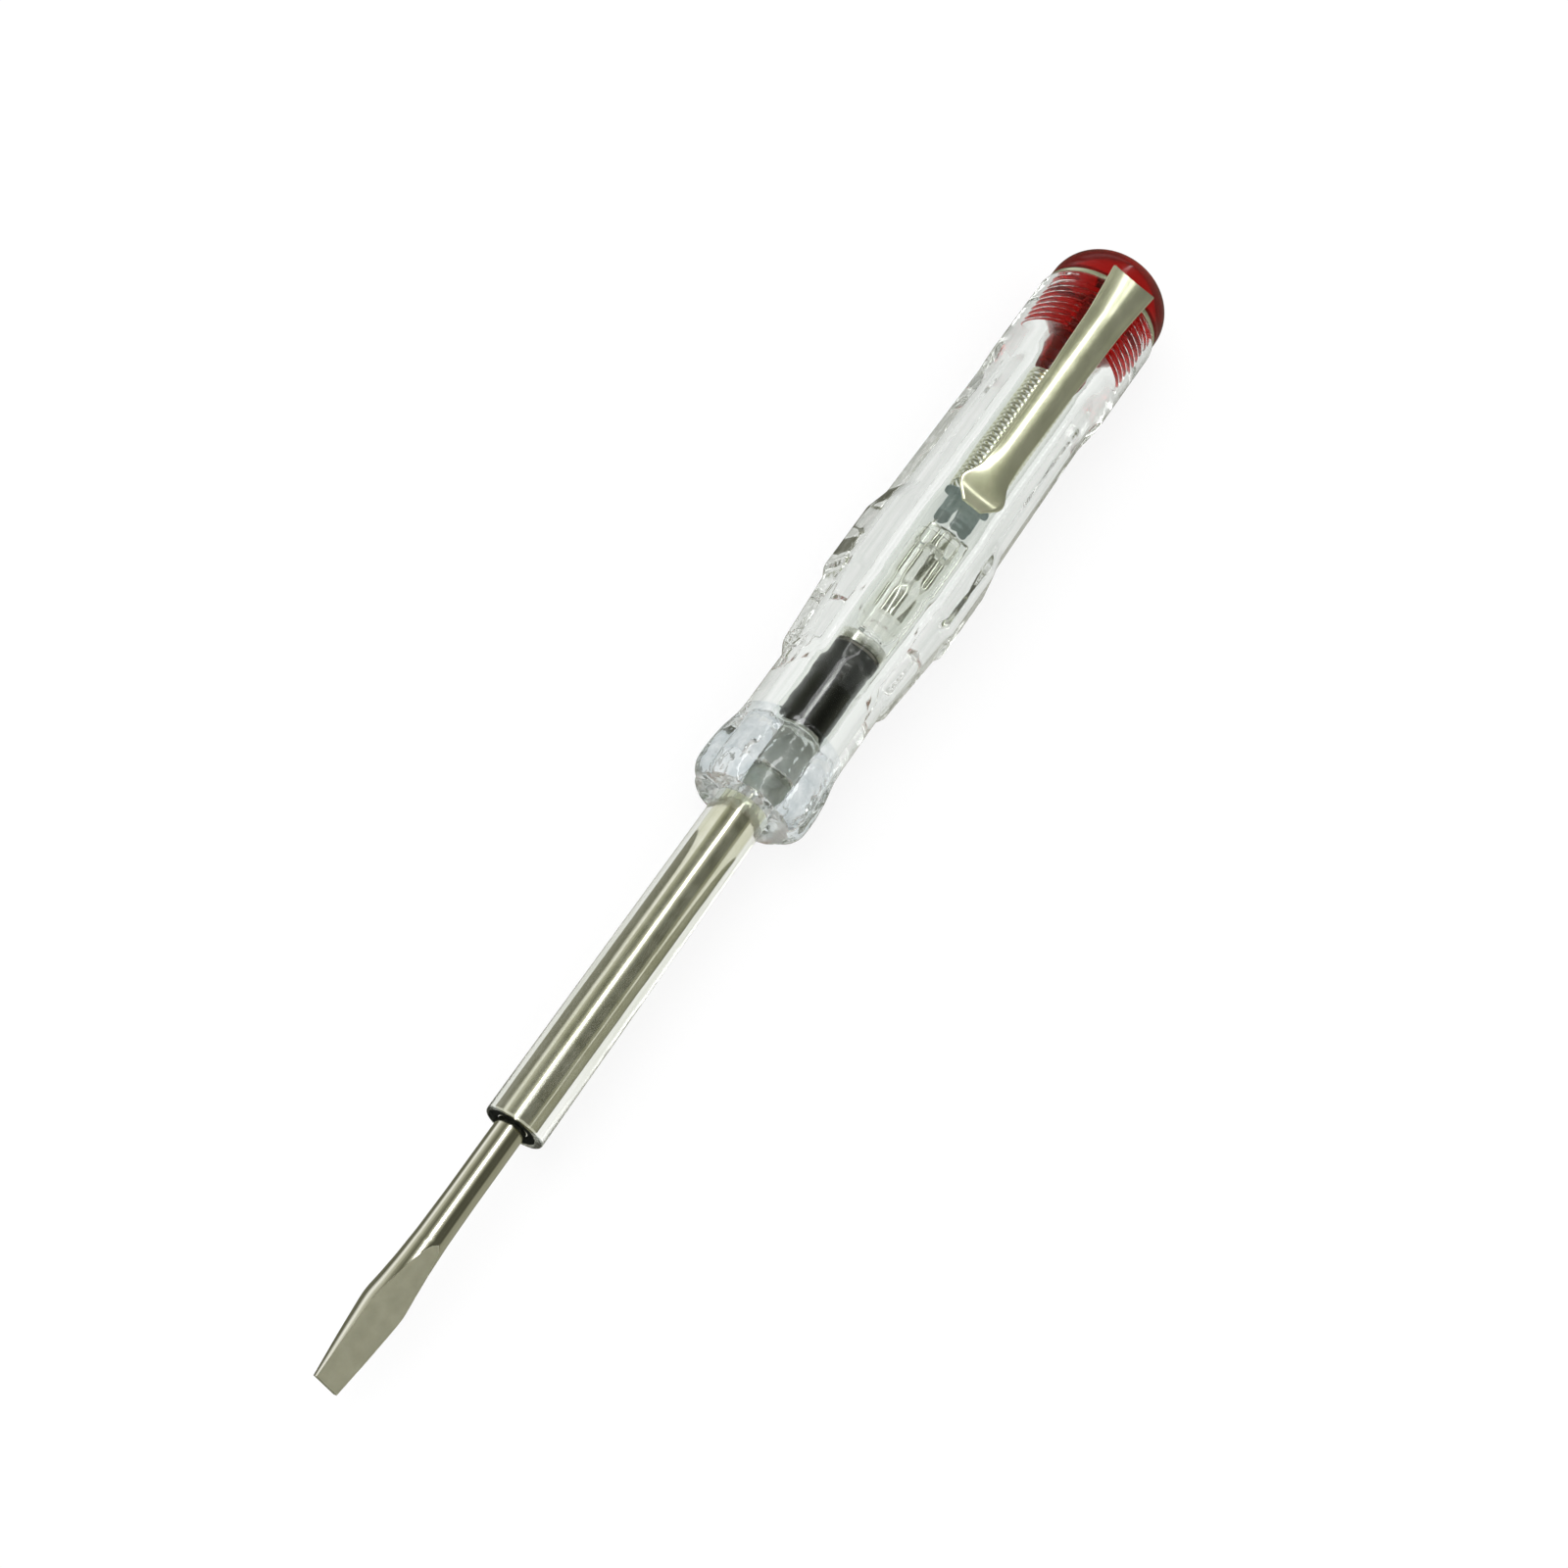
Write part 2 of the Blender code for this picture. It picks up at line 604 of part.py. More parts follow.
def build_seal(parent, glass):
    """Glass plug that closes the lamp and holds its two leads."""
    radius = ENVELOPE_DIAMETER / 2 - ENVELOPE_WALL - SEAT_GAP
    pinch = radius - SEAL_TAPER
    outline = [(SEAL_AT, radius), (ENVELOPE_END_AT, radius), (SEAL_END_AT, pinch)]
    seal = turned_solid("lamp_seal", parent, glass, outline)
    for side, side_name in ((-1, "left"), (1, "right")):
        hole_ends = [(SEAL_AT - CUT_OVERRUN, LEAD_DIAMETER), (SEAL_END_AT + CUT_OVERRUN, LEAD_DIAMETER)]
        hole = turned_solid("lead_hole_" + side_name, parent, glass, hole_ends, WIRE_SIDES)
        hole.location.y = side * ELECTRODE_SPACING / 2
        combine(seal, hole, "DIFFERENCE")
    return seal


def build_electrodes(parent, metal):
    """The two rods that the neon glows round."""
    start = ELECTRODE_END_AT - ELECTRODE_LENGTH
    outline = [(start, ELECTRODE_DIAMETER / 2), (ELECTRODE_END_AT - SEAT_GAP, ELECTRODE_DIAMETER / 2)]
    for side, side_name in ((-1, "left"), (1, "right")):
        electrode = turned_solid("lamp_electrode_" + side_name, parent, metal, outline, WIRE_SIDES)
        electrode.location.y = side * ELECTRODE_SPACING / 2


def build_leads(parent, metal):
    """One lead runs back to the slug, the other folds forward along the glass to the resistor."""
    across = ELECTRODE_SPACING / 2
    behind_seal = SEAL_END_AT + LEAD_DIAMETER
    rear_end = SLUG_AT - SEAT_GAP
    rear_points = [
        (ELECTRODE_END_AT, across, 0.0),
        (behind_seal, across, 0.0),
        (rear_end, across / 2, 0.0),
    ]
    wire("lamp_lead_rear", parent, metal, rear_points, LEAD_DIAMETER)
    beside = ENVELOPE_DIAMETER / 2 + WIRE_GAP + LEAD_DIAMETER / 2
    front_turn = (RESISTOR_END_AT + NUB_AT) / 2
    bend = LEAD_DIAMETER
    front_points = [
        (ELECTRODE_END_AT, -across, 0.0),
        (SEAL_END_AT, -across, 0.0),
        (behind_seal, -across - bend, 0.0),
        (behind_seal, -beside + bend, 0.0),
        (SEAL_END_AT, -beside, 0.0),
        ((SEAL_END_AT + ENVELOPE_AT) / 2, -beside, 0.0),
        (front_turn + bend, -beside, 0.0),
        (front_turn, -beside + bend, 0.0),
        (front_turn, 0.0, 0.0),
    ]
    wire("lamp_lead_front", parent, metal, front_points, LEAD_DIAMETER)


def build_slug(parent, carbon):
    """Conductive slug: a pin towards the lamp, and a flange that the spring presses."""
    radius = SLUG_DIAMETER / 2
    flange_at = SLUG_END_AT - FLANGE_THICKNESS
    outline = [
        (SLUG_AT, SLUG_NOSE_DIAMETER / 2),
        (SLUG_AT + SLUG_NOSE_LENGTH, radius),
        (flange_at, radius),
        (flange_at, FLANGE_DIAMETER / 2),
        (SLUG_END_AT, FLANGE_DIAMETER / 2),
    ]
    return turned_solid("contact_slug", parent, carbon, outline)


def spring_points():
    """The spring's centre line, one smooth helix."""
    start = SPRING_AT + SPRING_WIRE / 2
    end = SPRING_END_AT - SPRING_WIRE / 2
    radius = SPRING_DIAMETER / 2 - SPRING_WIRE / 2
    steps = SPRING_TURNS * POINTS_PER_CURL
    points = []
    for step in range(steps + 1):
        angle = math.tau * step / POINTS_PER_CURL
        points.append(polar(start + (end - start) * step / steps, radius, angle))
    return points


def least_gap(points, diameter, skip):
    """The nearest that a wire comes to itself, between points that are at least skip apart along it."""
    nearest = min(
        (points[first] - points[second]).length
        for first in range(len(points))
        for second in range(first + skip, len(points))
    )
    return nearest - diameter


def build_spring(parent, steel):
    """Compression spring between the slug and the cap."""
    points = spring_points()
    gap = least_gap(points, SPRING_WIRE, POINTS_PER_CURL // 2)
    print("spring: least gap to itself", round(gap * 1000, 3), "mm")
    return wire("spring", parent, steel, points, SPRING_WIRE, 1)


def head_outline():
    """The dome from its rim to just short of its pole."""
    radius = HEAD_RADIUS
    height = HEAD_LENGTH - HEAD_RIM_LENGTH
    outline = [(HEAD_AT, radius - RIM_BEVEL), (HEAD_AT + RIM_BEVEL, radius)]
    for step in range(DOME_STEPS):
        swing = math.radians(DOME_STEP_DEGREES * step)
        outline.append((HEAD_AT + HEAD_RIM_LENGTH + height * math.sin(swing), radius * math.cos(swing)))
    return outline


def build_cap(parent, red):
    """Screw cap with a nose, a thread and a domed head, grooved along its underside for the strip."""
    nose = NOSE_DIAMETER / 2
    minor = THREAD_MINOR / 2
    shell = Shell()
    shank = [(NOSE_AT, nose), (NOSE_AT + NOSE_LENGTH, nose), (THREAD_AT, minor)]
    tip, thread_start = shell.stack([circle(along, radius) for along, radius in shank])
    shell.close(tip)
    head = [(HEAD_AT, minor)] + head_outline()
    thread_end, pole_ring = shell.stack([circle(along, radius) for along, radius in head])
    shell.thread(thread_start, thread_end, THREAD_AT, THREAD_TURNS - 1, minor, THREAD_MAJOR / 2)
    shell.point(pole_ring, Vector((TOOL_LENGTH, 0.0, 0.0)))
    cap = shell.finish("cap", parent, red)
    half_width = STRIP_WIDTH / 2 + SEAT_GAP
    floor = nose - STRIP_THICKNESS - SEAT_GAP
    low = (NOSE_AT - CUT_OVERRUN, -half_width, -STRIP_FOOT_RADIUS)
    high = (HEAD_AT, half_width, -floor)
    combine(cap, box_skin("strip_groove", parent, red, low, high), "DIFFERENCE")
    recess_low = (HEAD_AT - CUT_OVERRUN, -half_width, -STRIP_FOOT_RADIUS - SEAT_GAP)
    recess_high = (RING_END_AT + SEAT_GAP + STRIP_THICKNESS + SEAT_GAP, half_width, -floor)
    combine(cap, box_skin("strip_recess", parent, red, recess_low, recess_high), "DIFFERENCE")
    return cap


def build_strip(parent, brass):
    """Z-shaped strip: one foot under the spring, one behind the washer."""
    outer = NOSE_DIAMETER / 2
    inner = outer - STRIP_THICKNESS
    foot_at = RING_END_AT + SEAT_GAP
    foot_end = foot_at + STRIP_THICKNESS
    outline = [
        (STRIP_FRONT_AT, outer),
        (foot_at, outer),
        (foot_at, STRIP_FOOT_RADIUS),
        (foot_end, STRIP_FOOT_RADIUS),
        (foot_end, inner),
        (STRIP_FRONT_AT + STRIP_THICKNESS, inner),
        (STRIP_FRONT_AT + STRIP_THICKNESS, -inner),
        (STRIP_FRONT_AT, -inner),
    ]
    shell = Shell()
    sides = (-STRIP_WIDTH / 2, STRIP_WIDTH / 2)
    near, far = shell.stack([[Vector((along, side, -down)) for along, down in outline] for side in sides])
    shell.close(near)
    shell.close(far)
    return shell.finish("contact_strip", parent, brass)


def build_ring(parent, steel):
    """Clip washer between the handle and the cap, with the tab that rises to the arm."""
    hole = THREAD_MAJOR / 2 + SEAT_GAP
    outer = COLLAR_RADIUS - RING_INSET
    outline = [(RING_AT, hole), (RING_AT, outer), (RING_END_AT, outer), (RING_END_AT, hole)]
    ring = turned_tube("clip_ring", parent, steel, outline)
    half_width = TAB_WIDTH / 2
    arch_share = 1.0 - (half_width / ARM_REAR_HALF_WIDTH) ** 2
    top = ARM_UNDERSIDE_HEIGHT + ARM_CROWN * arch_share - SEAT_GAP
    low = (RING_AT, -half_width, (hole + outer) / 2)
    high = (RING_END_AT, half_width, top)
    combine(ring, box_skin("tab_guide", parent, steel, low, high), "UNION")
    return ring


def arm_section(along, half_width, underside, crown, end_hollow=0.0):
    """A cross-section of the clip's arm, seen from its hinge: an arched strip of even thickness."""
    top = []
    bottom = []
    for share in (-1.0, -0.75, -0.4, 0.0, 0.4, 0.75, 1.0):
        arch_share = 1.0 - share**2
        level = underside + crown * arch_share - ARM_UNDERSIDE_HEIGHT
        reach = along - end_hollow * arch_share - ARM_HINGE_AT
        top.append(Vector((reach, half_width * share, level + ARM_THICKNESS)))
        bottom.append(Vector((reach, half_width * share, level)))
    return top + bottom[::-1]


def build_clip_arm(hinge, steel):
    """Gutter-shaped arm that widens to its flared rear end, with a spoon that dips towards the grip."""
    front = RING_END_AT - ARM_LENGTH
    widest = front + SPOON_LENGTH / 2
    spoon_at = front + SPOON_LENGTH
    straight_at = spoon_at + FLARE_REACH / 2
    flare_at = RING_END_AT - FLARE_REACH
    touch = highest_corner(front, spoon_at) + SEAT_GAP
    level = ARM_UNDERSIDE_HEIGHT
    neck_level = (level + touch) / 2
    half_flare = (ARM_REAR_HALF_WIDTH + ARM_HALF_WIDTH) / 2
    half_spoon = (ARM_FRONT_HALF_WIDTH + SPOON_HALF_WIDTH) / 2
    half_lip = (SPOON_HALF_WIDTH + SPOON_LIP_HALF_WIDTH) / 2
    sections = [
        (RING_END_AT, ARM_REAR_HALF_WIDTH, level, ARM_CROWN, ARM_END_HOLLOW),
        ((RING_END_AT + flare_at) / 2, half_flare, level, ARM_CROWN),
        (flare_at, ARM_HALF_WIDTH, level, ARM_CROWN),
        (straight_at, ARM_FRONT_HALF_WIDTH, level, ARM_CROWN),
        (spoon_at, ARM_FRONT_HALF_WIDTH, neck_level, ARM_CROWN / 2),
        ((spoon_at + widest) / 2, half_spoon, (neck_level + touch) / 2, ARM_CROWN / 4),
        (widest, SPOON_HALF_WIDTH, touch, 0.0),
        ((widest + front) / 2, half_lip, touch + SPOON_LIP_RISE / 2, 0.0),
        (front, SPOON_LIP_HALF_WIDTH, touch + SPOON_LIP_RISE, 0.0),
    ]
    shell = Shell()
    first, last = shell.stack([arm_section(*section) for section in sections])
    shell.close(first)
    shell.close(last)
    return shell.finish("clip_arm", hinge, steel)


def build_tester():
    """All pieces on one tool axis, the clip's arm on its own hinge."""
    clear_scene()
    nickel = make_material("nickel_plate", (0.52, 0.51, 0.44), 0.28, metallic=1.0)
    clear_soft = make_material("clear_vinyl", (0.86, 0.88, 0.85), 0.12, transmission=1.0)
    clear_hard = make_material("clear_handle", (0.86, 0.90, 0.88), 0.05, transmission=1.0)
    tin = make_material("tinned_steel", (0.66, 0.65, 0.55), 0.30, metallic=1.0)
    ceramic = make_material("ceramic", (0.82, 0.80, 0.74), 0.55)
    lacquer = make_material("black_lacquer", (0.015, 0.016, 0.014), 0.25)
    glass = make_material("lamp_glass", (0.93, 0.95, 0.93), 0.02, transmission=1.0)
    carbon = make_material("carbon_rubber", (0.09, 0.10, 0.10), 0.60)
    red = make_material("red_cap", (0.45, 0.01, 0.01), 0.08, transmission=0.8)
    brass = make_material("brass", (0.72, 0.55, 0.25), 0.30, metallic=1.0)
    axis = make_empty("tool_axis", (-TOOL_LENGTH / 2, 0.0, AXIS_HEIGHT))
    hinge = make_empty("clip_hinge", (ARM_HINGE_AT, 0.0, ARM_UNDERSIDE_HEIGHT), axis)
    build_blade(axis, nickel)
    build_sleeve(axis, clear_soft)
    build_handle(axis, clear_hard)
    build_resistor(axis, tin, ceramic, lacquer)
    build_envelope(axis, glass)
    build_seal(axis, glass)
    build_electrodes(axis, tin)
    build_leads(axis, tin)
    build_slug(axis, carbon)
    build_spring(axis, nickel)
    build_cap(axis, red)
    build_strip(axis, brass)
    build_ring(axis, nickel)
    build_clip_arm(hinge, nickel)
    bpy.context.view_layer.update()


build_tester()
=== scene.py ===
# %% [markdown]
# # A voltage tester screwdriver
# This tool is a slim screwdriver that also tests for mains voltage. Current from the blade runs through a
# resistor, a neon lamp, a dark plug and a spring to the metal clip, where a finger closes the circuit.
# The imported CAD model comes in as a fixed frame. It says where each part is and what moves, and every
# piece below takes its place from it. All lengths are in metres.

import math

import bmesh
import bpy
from mathutils import Matrix, Vector


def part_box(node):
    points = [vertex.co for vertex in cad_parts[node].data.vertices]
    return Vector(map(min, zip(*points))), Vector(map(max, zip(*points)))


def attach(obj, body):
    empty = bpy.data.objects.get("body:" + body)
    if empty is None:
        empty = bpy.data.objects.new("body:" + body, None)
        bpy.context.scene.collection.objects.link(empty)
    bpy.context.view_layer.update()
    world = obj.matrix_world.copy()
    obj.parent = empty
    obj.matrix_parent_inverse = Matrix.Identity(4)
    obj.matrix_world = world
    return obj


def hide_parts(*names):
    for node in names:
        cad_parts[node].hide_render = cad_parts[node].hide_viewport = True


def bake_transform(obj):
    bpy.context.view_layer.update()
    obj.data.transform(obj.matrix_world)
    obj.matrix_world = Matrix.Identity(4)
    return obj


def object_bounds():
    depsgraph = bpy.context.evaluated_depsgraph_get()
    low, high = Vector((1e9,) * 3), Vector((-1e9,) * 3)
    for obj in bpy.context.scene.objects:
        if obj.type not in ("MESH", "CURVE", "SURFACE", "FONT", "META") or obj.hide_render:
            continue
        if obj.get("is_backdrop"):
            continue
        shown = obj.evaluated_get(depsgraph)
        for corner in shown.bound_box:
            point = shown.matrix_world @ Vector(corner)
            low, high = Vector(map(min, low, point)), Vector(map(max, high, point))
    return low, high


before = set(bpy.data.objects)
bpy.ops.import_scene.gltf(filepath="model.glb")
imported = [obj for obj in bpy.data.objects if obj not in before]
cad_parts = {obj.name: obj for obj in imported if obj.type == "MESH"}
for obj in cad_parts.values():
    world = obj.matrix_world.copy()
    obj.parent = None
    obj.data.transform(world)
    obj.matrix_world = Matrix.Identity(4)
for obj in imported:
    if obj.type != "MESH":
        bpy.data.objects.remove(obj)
cad_low, cad_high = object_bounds()
TIP_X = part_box("blade")[0].x
AXIS_Z = (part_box("cap")[0].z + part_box("cap")[1].z) / 2

# %% [markdown]
# ## Laying a skin ring by ring
# Nearly everything on this tool is turned or drawn along one axis. A lathe modifier would give plain
# rounds only, so the skins are laid ring by ring in code: a ring may be a circle, a set of flats or a
# screw thread, and two neighbouring rings are joined with quads. Distances run from the blade's tip.

# %% Helpers for skins
SHARP_DEGREES = 34.0


def spot(along, radius=0.0, angle=0.0):
    """A point by its distance from the tip, out from the axis, and round it from the top towards -Y."""
    return Vector((TIP_X + along, -radius * math.sin(angle), AXIS_Z + radius * math.cos(angle)))


def skin(name, rings, ends="flat"):
    """A closed skin over rings of equal count: flat fills both ends, loop joins the last to the first."""
    count = len(rings[0])
    vertices = [point for ring in rings for point in ring]
    last = len(rings) if ends == "loop" else len(rings) - 1
    faces = []
    for first in range(last):
        second = (first + 1) % len(rings)
        for here in range(count):
            after = (here + 1) % count
            near = (first * count + here, first * count + after)
            faces.append((*near, second * count + after, second * count + here))
    if ends == "flat":
        faces.append(tuple(range(count)))
        faces.append(tuple(range(last * count, last * count + count)))
    mesh = bpy.data.meshes.new(name)
    mesh.from_pydata(vertices, [], faces)
    shape = bmesh.new()
    shape.from_mesh(mesh)
    bmesh.ops.recalc_face_normals(shape, faces=shape.faces)
    shape.to_mesh(mesh)
    shape.free()
    mesh.shade_smooth()
    mesh.set_sharp_from_angle(angle=math.radians(SHARP_DEGREES))
    piece = bpy.data.objects.new(name, mesh)
    bpy.context.scene.collection.objects.link(piece)
    return piece


def circle(along, radius, count):
    """One round ring."""
    return [spot(along, radius, math.tau * step / count) for step in range(count)]


def rounded(outline, reach, closed=False, steps=3):
    """An outline with each corner eased into a small arc."""
    corners = [Vector(point) for point in outline]
    eased_outline = []
    for index, corner in enumerate(corners):
        if not closed and index in (0, len(corners) - 1):
            eased_outline.append(tuple(corner))
            continue
        into = corners[index - 1] - corner
        out = corners[(index + 1) % len(corners)] - corner
        near = min(reach, into.length / 2, out.length / 2)
        start = corner + into.normalized() * near
        end = corner + out.normalized() * near
        for step in range(steps + 1):
            share = step / steps
            eased_outline.append(tuple(start.lerp(corner, share).lerp(corner.lerp(end, share), share)))
    return eased_outline


def turned(name, outline, count=64, ends="flat"):
    """A piece turned from an outline of distances and radii."""
    return skin(name, [circle(along, radius, count) for along, radius in outline], ends)


def wire(name, route, radius, sides=12):
    """A round wire along a flat route of distances and offsets towards +Y."""
    points = [Vector((TIP_X + along, across, AXIS_Z)) for along, across in route]
    rings = []
    for index, point in enumerate(points):
        ahead = points[min(index + 1, len(points) - 1)] - points[max(index - 1, 0)]
        aside = Vector((-ahead.y, ahead.x, 0.0)).normalized()
        ring = []
        for side in range(sides):
            turn = math.tau * side / sides
            ring.append(point + radius * (aside * math.cos(turn) + Vector((0.0, 0.0, math.sin(turn)))))
        rings.append(ring)
    return skin(name, rings)


def dress(piece, body, material, slot, *nodes):
    """Finish a piece, hang it on its body and let it stand for the CAD nodes that it replaces."""
    if not piece.data.materials:
        piece.data.materials.append(material)
    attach(piece, body)
    if nodes:
        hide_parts(*nodes)
    print(piece.name, "on", body, "has", len(piece.data.polygons), "faces")
    return piece


def span(node):
    """A CAD node's start and end from the tip, and its half width."""
    low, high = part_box(node)
    return low.x - TIP_X, high.x - TIP_X, (high.y - low.y) / 2


# %% [markdown]
# ## Effects that several finishes share
# Metal and plastic both need fine marks that no flat colour has: drawn lines on the plated steel, a slow
# ripple on the plastic where it shrank in the mould, and patches where a finish is duller. An image would
# need an unwrapped skin, while a noise in the piece's own space needs none. Each effect is a node group,
# so that every material sets its own scale.

# %% Node helpers
def feed(tree, value, socket):
    """Link an output to an input, or set the input to a plain value."""
    if isinstance(value, bpy.types.NodeSocket):
        tree.links.new(value, socket)
    else:
        socket.default_value = value


def feed_all(tree, node, **values):
    """Feed several inputs of a node by name."""
    for name, value in values.items():
        feed(tree, value, node.inputs[name.replace("_", " ")])


def math_node(tree, operation, *values):
    """A Math node with its inputs in order."""
    node = tree.nodes.new("ShaderNodeMath")
    node.operation = operation
    for socket, value in zip(node.inputs, values):
        feed(tree, value, socket)
    return node.outputs[0]


def map_range(tree, value, start, end, low, high, interpolation="LINEAR"):
    """A value that runs from start to end, mapped to run from low to high and held there."""
    node = tree.nodes.new("ShaderNodeMapRange")
    node.interpolation_type = interpolation
    feed_all(tree, node, Value=value, From_Min=start, From_Max=end, To_Min=low, To_Max=high)
    return node.outputs["Result"]


def mix_colors(tree, factor, first, second):
    """A mix of two colours: the first where the factor is 0, the second where it is 1."""
    mix = tree.nodes.new("ShaderNodeMix")
    mix.data_type = "RGBA"
    feed_all(tree, mix, Factor=factor, A=first, B=second)
    return mix.outputs["Result"]


def grey(level):
    """A plain grey."""
    return (level, level, level, 1.0)


def own_place(tree):
    """The place in the piece's own space, so that a mark moves with its piece."""
    return tree.nodes.new("ShaderNodeTexCoord").outputs["Object"]


def noise(tree, place, scale, detail, roughness):
    """A noise that keeps mostly between a third and two thirds, with its scale per metre."""
    node = tree.nodes.new("ShaderNodeTexNoise")
    feed_all(tree, node, Vector=place, Scale=scale, Detail=detail, Roughness=roughness)
    return node.outputs["Fac"]


def new_group(name, inputs, output):
    """A group with float inputs and one float output, and its two end nodes."""
    group = bpy.data.node_groups.new(name, "ShaderNodeTree")
    for socket, value in inputs.items():
        entry = group.interface.new_socket(socket, in_out="INPUT", socket_type="NodeSocketFloat")
        entry.default_value = value
    group.interface.new_socket(output, in_out="OUTPUT", socket_type="NodeSocketFloat")
    return group, group.nodes.new("NodeGroupInput").outputs, group.nodes.new("NodeGroupOutput").inputs


# %% Drawn lines: fine scratches that run along or across the tool
drawn_lines, source, result = new_group("drawn_lines", {"Lines Per Metre": 9000.0, "Stretch": 0.01}, "Height")
split = drawn_lines.nodes.new("ShaderNodeSeparateXYZ")
drawn_lines.links.new(own_place(drawn_lines), split.inputs[0])
join = drawn_lines.nodes.new("ShaderNodeCombineXYZ")
slowed = math_node(drawn_lines, "MULTIPLY", split.outputs["X"], source["Stretch"])
feed_all(drawn_lines, join, X=slowed, Y=split.outputs["Y"], Z=split.outputs["Z"])
grain = noise(drawn_lines, join.outputs[0], source["Lines Per Metre"], 4.0, 0.6)
drawn_lines.links.new(grain, result["Height"])
print("group drawn_lines has", len(drawn_lines.nodes), "nodes")

# %% Slow ripple: the shrink marks of moulded plastic
ripple, source, result = new_group("ripple", {"Waves Per Metre": 250.0}, "Height")
swell = noise(ripple, own_place(ripple), source["Waves Per Metre"], 2.0, 0.45)
ripple.links.new(swell, result["Height"])
print("group ripple has", len(ripple.nodes), "nodes")

# %% Dull patches: where hands and air have taken the shine
NOISE_LOW = 0.3
NOISE_HIGH = 0.7
dull_patches, source, result = new_group(
    "dull_patches", {"Patches Per Metre": 400.0, "Low": 0.2, "High": 0.3}, "Value"
)
cloud = noise(dull_patches, own_place(dull_patches), source["Patches Per Metre"], 5.0, 0.6)
drift = map_range(dull_patches, cloud, NOISE_LOW, NOISE_HIGH, source["Low"], source["High"])
dull_patches.links.new(drift, result["Value"])
print("group dull_patches has", len(dull_patches.nodes), "nodes")

# %% [markdown]
# ## The finishes
# Each finish starts as a Principled shader with plain values. The helpers then lay the shared effects
# over it: a relief through a Bump node, a roughness that drifts, and a colour in patches or streaks.

# %% Material helpers
STREAK_STRETCH = 0.04
STREAK_CONTRAST = 3.5


def new_material(name, color, roughness, metallic=0.0, transmission=0.0, index=1.5):
    """A Principled material and its shader node, with the uniform values set on the shader itself."""
    material = bpy.data.materials.new(name)
    material.use_nodes = True
    shader = material.node_tree.nodes["Principled BSDF"]
    shader.inputs["Base Color"].default_value = (*color, 1.0)
    shader.inputs["Roughness"].default_value = roughness
    shader.inputs["Metallic"].default_value = metallic
    shader.inputs["Transmission Weight"].default_value = transmission
    shader.inputs["IOR"].default_value = index
    material.diffuse_color = (*color, 1.0)
    return material, shader


def use_group(shader, group, **values):
    """Place a shared group beside a shader with its own values, and give its output."""
    node = shader.id_data.nodes.new("ShaderNodeGroup")
    node.node_tree = group
    feed_all(shader.id_data, node, **values)
    return node.outputs[0]


def bump(shader, height, depth):
    """Raise a surface by a height that runs from 0 to 1 over a depth."""
    node = shader.id_data.nodes.new("ShaderNodeBump")
    feed_all(shader.id_data, node, Height=height, Distance=depth)
    feed(shader.id_data, node.outputs["Normal"], shader.inputs["Normal"])


def draw_lines(shader, lines, stretch, depth):
    """Scratch a metal with fine lines: a small stretch makes them long."""
    bump(shader, use_group(shader, drawn_lines, Lines_Per_Metre=lines, Stretch=stretch), depth)


def shrink(shader, waves, depth):
    """Give a moulding or a glass its slow ripple."""
    bump(shader, use_group(shader, ripple, Waves_Per_Metre=waves), depth)


def vary_shine(shader, low, high, patches):
    """Let the roughness drift between two ends in soft patches."""
    value = use_group(shader, dull_patches, Low=low, High=high, Patches_Per_Metre=patches)
    feed(shader.id_data, value, shader.inputs["Roughness"])


def two_tone(shader, factor, dark, light):
    """Let the colour run between two tones."""
    mix = mix_colors(shader.id_data, factor, (*dark, 1.0), (*light, 1.0))
    feed(shader.id_data, mix, shader.inputs["Base Color"])


def tint(shader, dark, light, patches):
    """Two tones in soft patches."""
    factor = use_group(shader, dull_patches, Low=0.0, High=1.0, Patches_Per_Metre=patches)
    two_tone(shader, factor, dark, light)


def streak(shader, dark, light, lines):
    """Two tones in streaks along the tool."""
    height = use_group(shader, drawn_lines, Lines_Per_Metre=lines, Stretch=STREAK_STRETCH)
    offset = 0.5 * (1.0 - STREAK_CONTRAST)
    two_tone(shader, math_node(shader.id_data, "MULTIPLY_ADD", height, STREAK_CONTRAST, offset), dark, light)


# %% [markdown]
# ### Metals
# Blade, spring and clip are nickel plated: a warm metal whose look comes almost wholly from what it
# reflects. The flats of the tip are ground, so they hardly mirror, and the pressed root stays dull. The
# clip's plating is yellower, and not wholly metallic, which keeps its dark sides from going black. The
# lamp's wires have a thin bright coat. The strip inside the cap is plain brass.

# %% Metals
nickel, shader = new_material("nickel_plate", (0.80, 0.79, 0.68), 0.12, metallic=1.0)
draw_lines(shader, 9000.0, 0.02, 0.000003)
vary_shine(shader, 0.08, 0.15, 500.0)
tint(shader, (0.76, 0.75, 0.62), (0.84, 0.83, 0.73), 350.0)

ground_steel, shader = new_material("ground_nickel", (0.80, 0.79, 0.64), 0.55, metallic=1.0)
draw_lines(shader, 7000.0, 1.0, 0.00001)
vary_shine(shader, 0.50, 0.62, 900.0)
tint(shader, (0.85, 0.84, 0.68), (0.95, 0.94, 0.79), 800.0)

pressed_steel, shader = new_material("pressed_nickel", (0.92, 0.92, 0.90), 0.59, metallic=1.0)
vary_shine(shader, 0.50, 0.68, 900.0)
tint(shader, (0.86, 0.87, 0.84), (0.96, 0.96, 0.95), 700.0)

clip_nickel, shader = new_material("clip_nickel", (0.76, 0.77, 0.60), 0.17, metallic=0.80)
draw_lines(shader, 4000.0, 0.03, 0.0000015)
vary_shine(shader, 0.13, 0.21, 400.0)
tint(shader, (0.57, 0.59, 0.41), (0.70, 0.71, 0.52), 300.0)

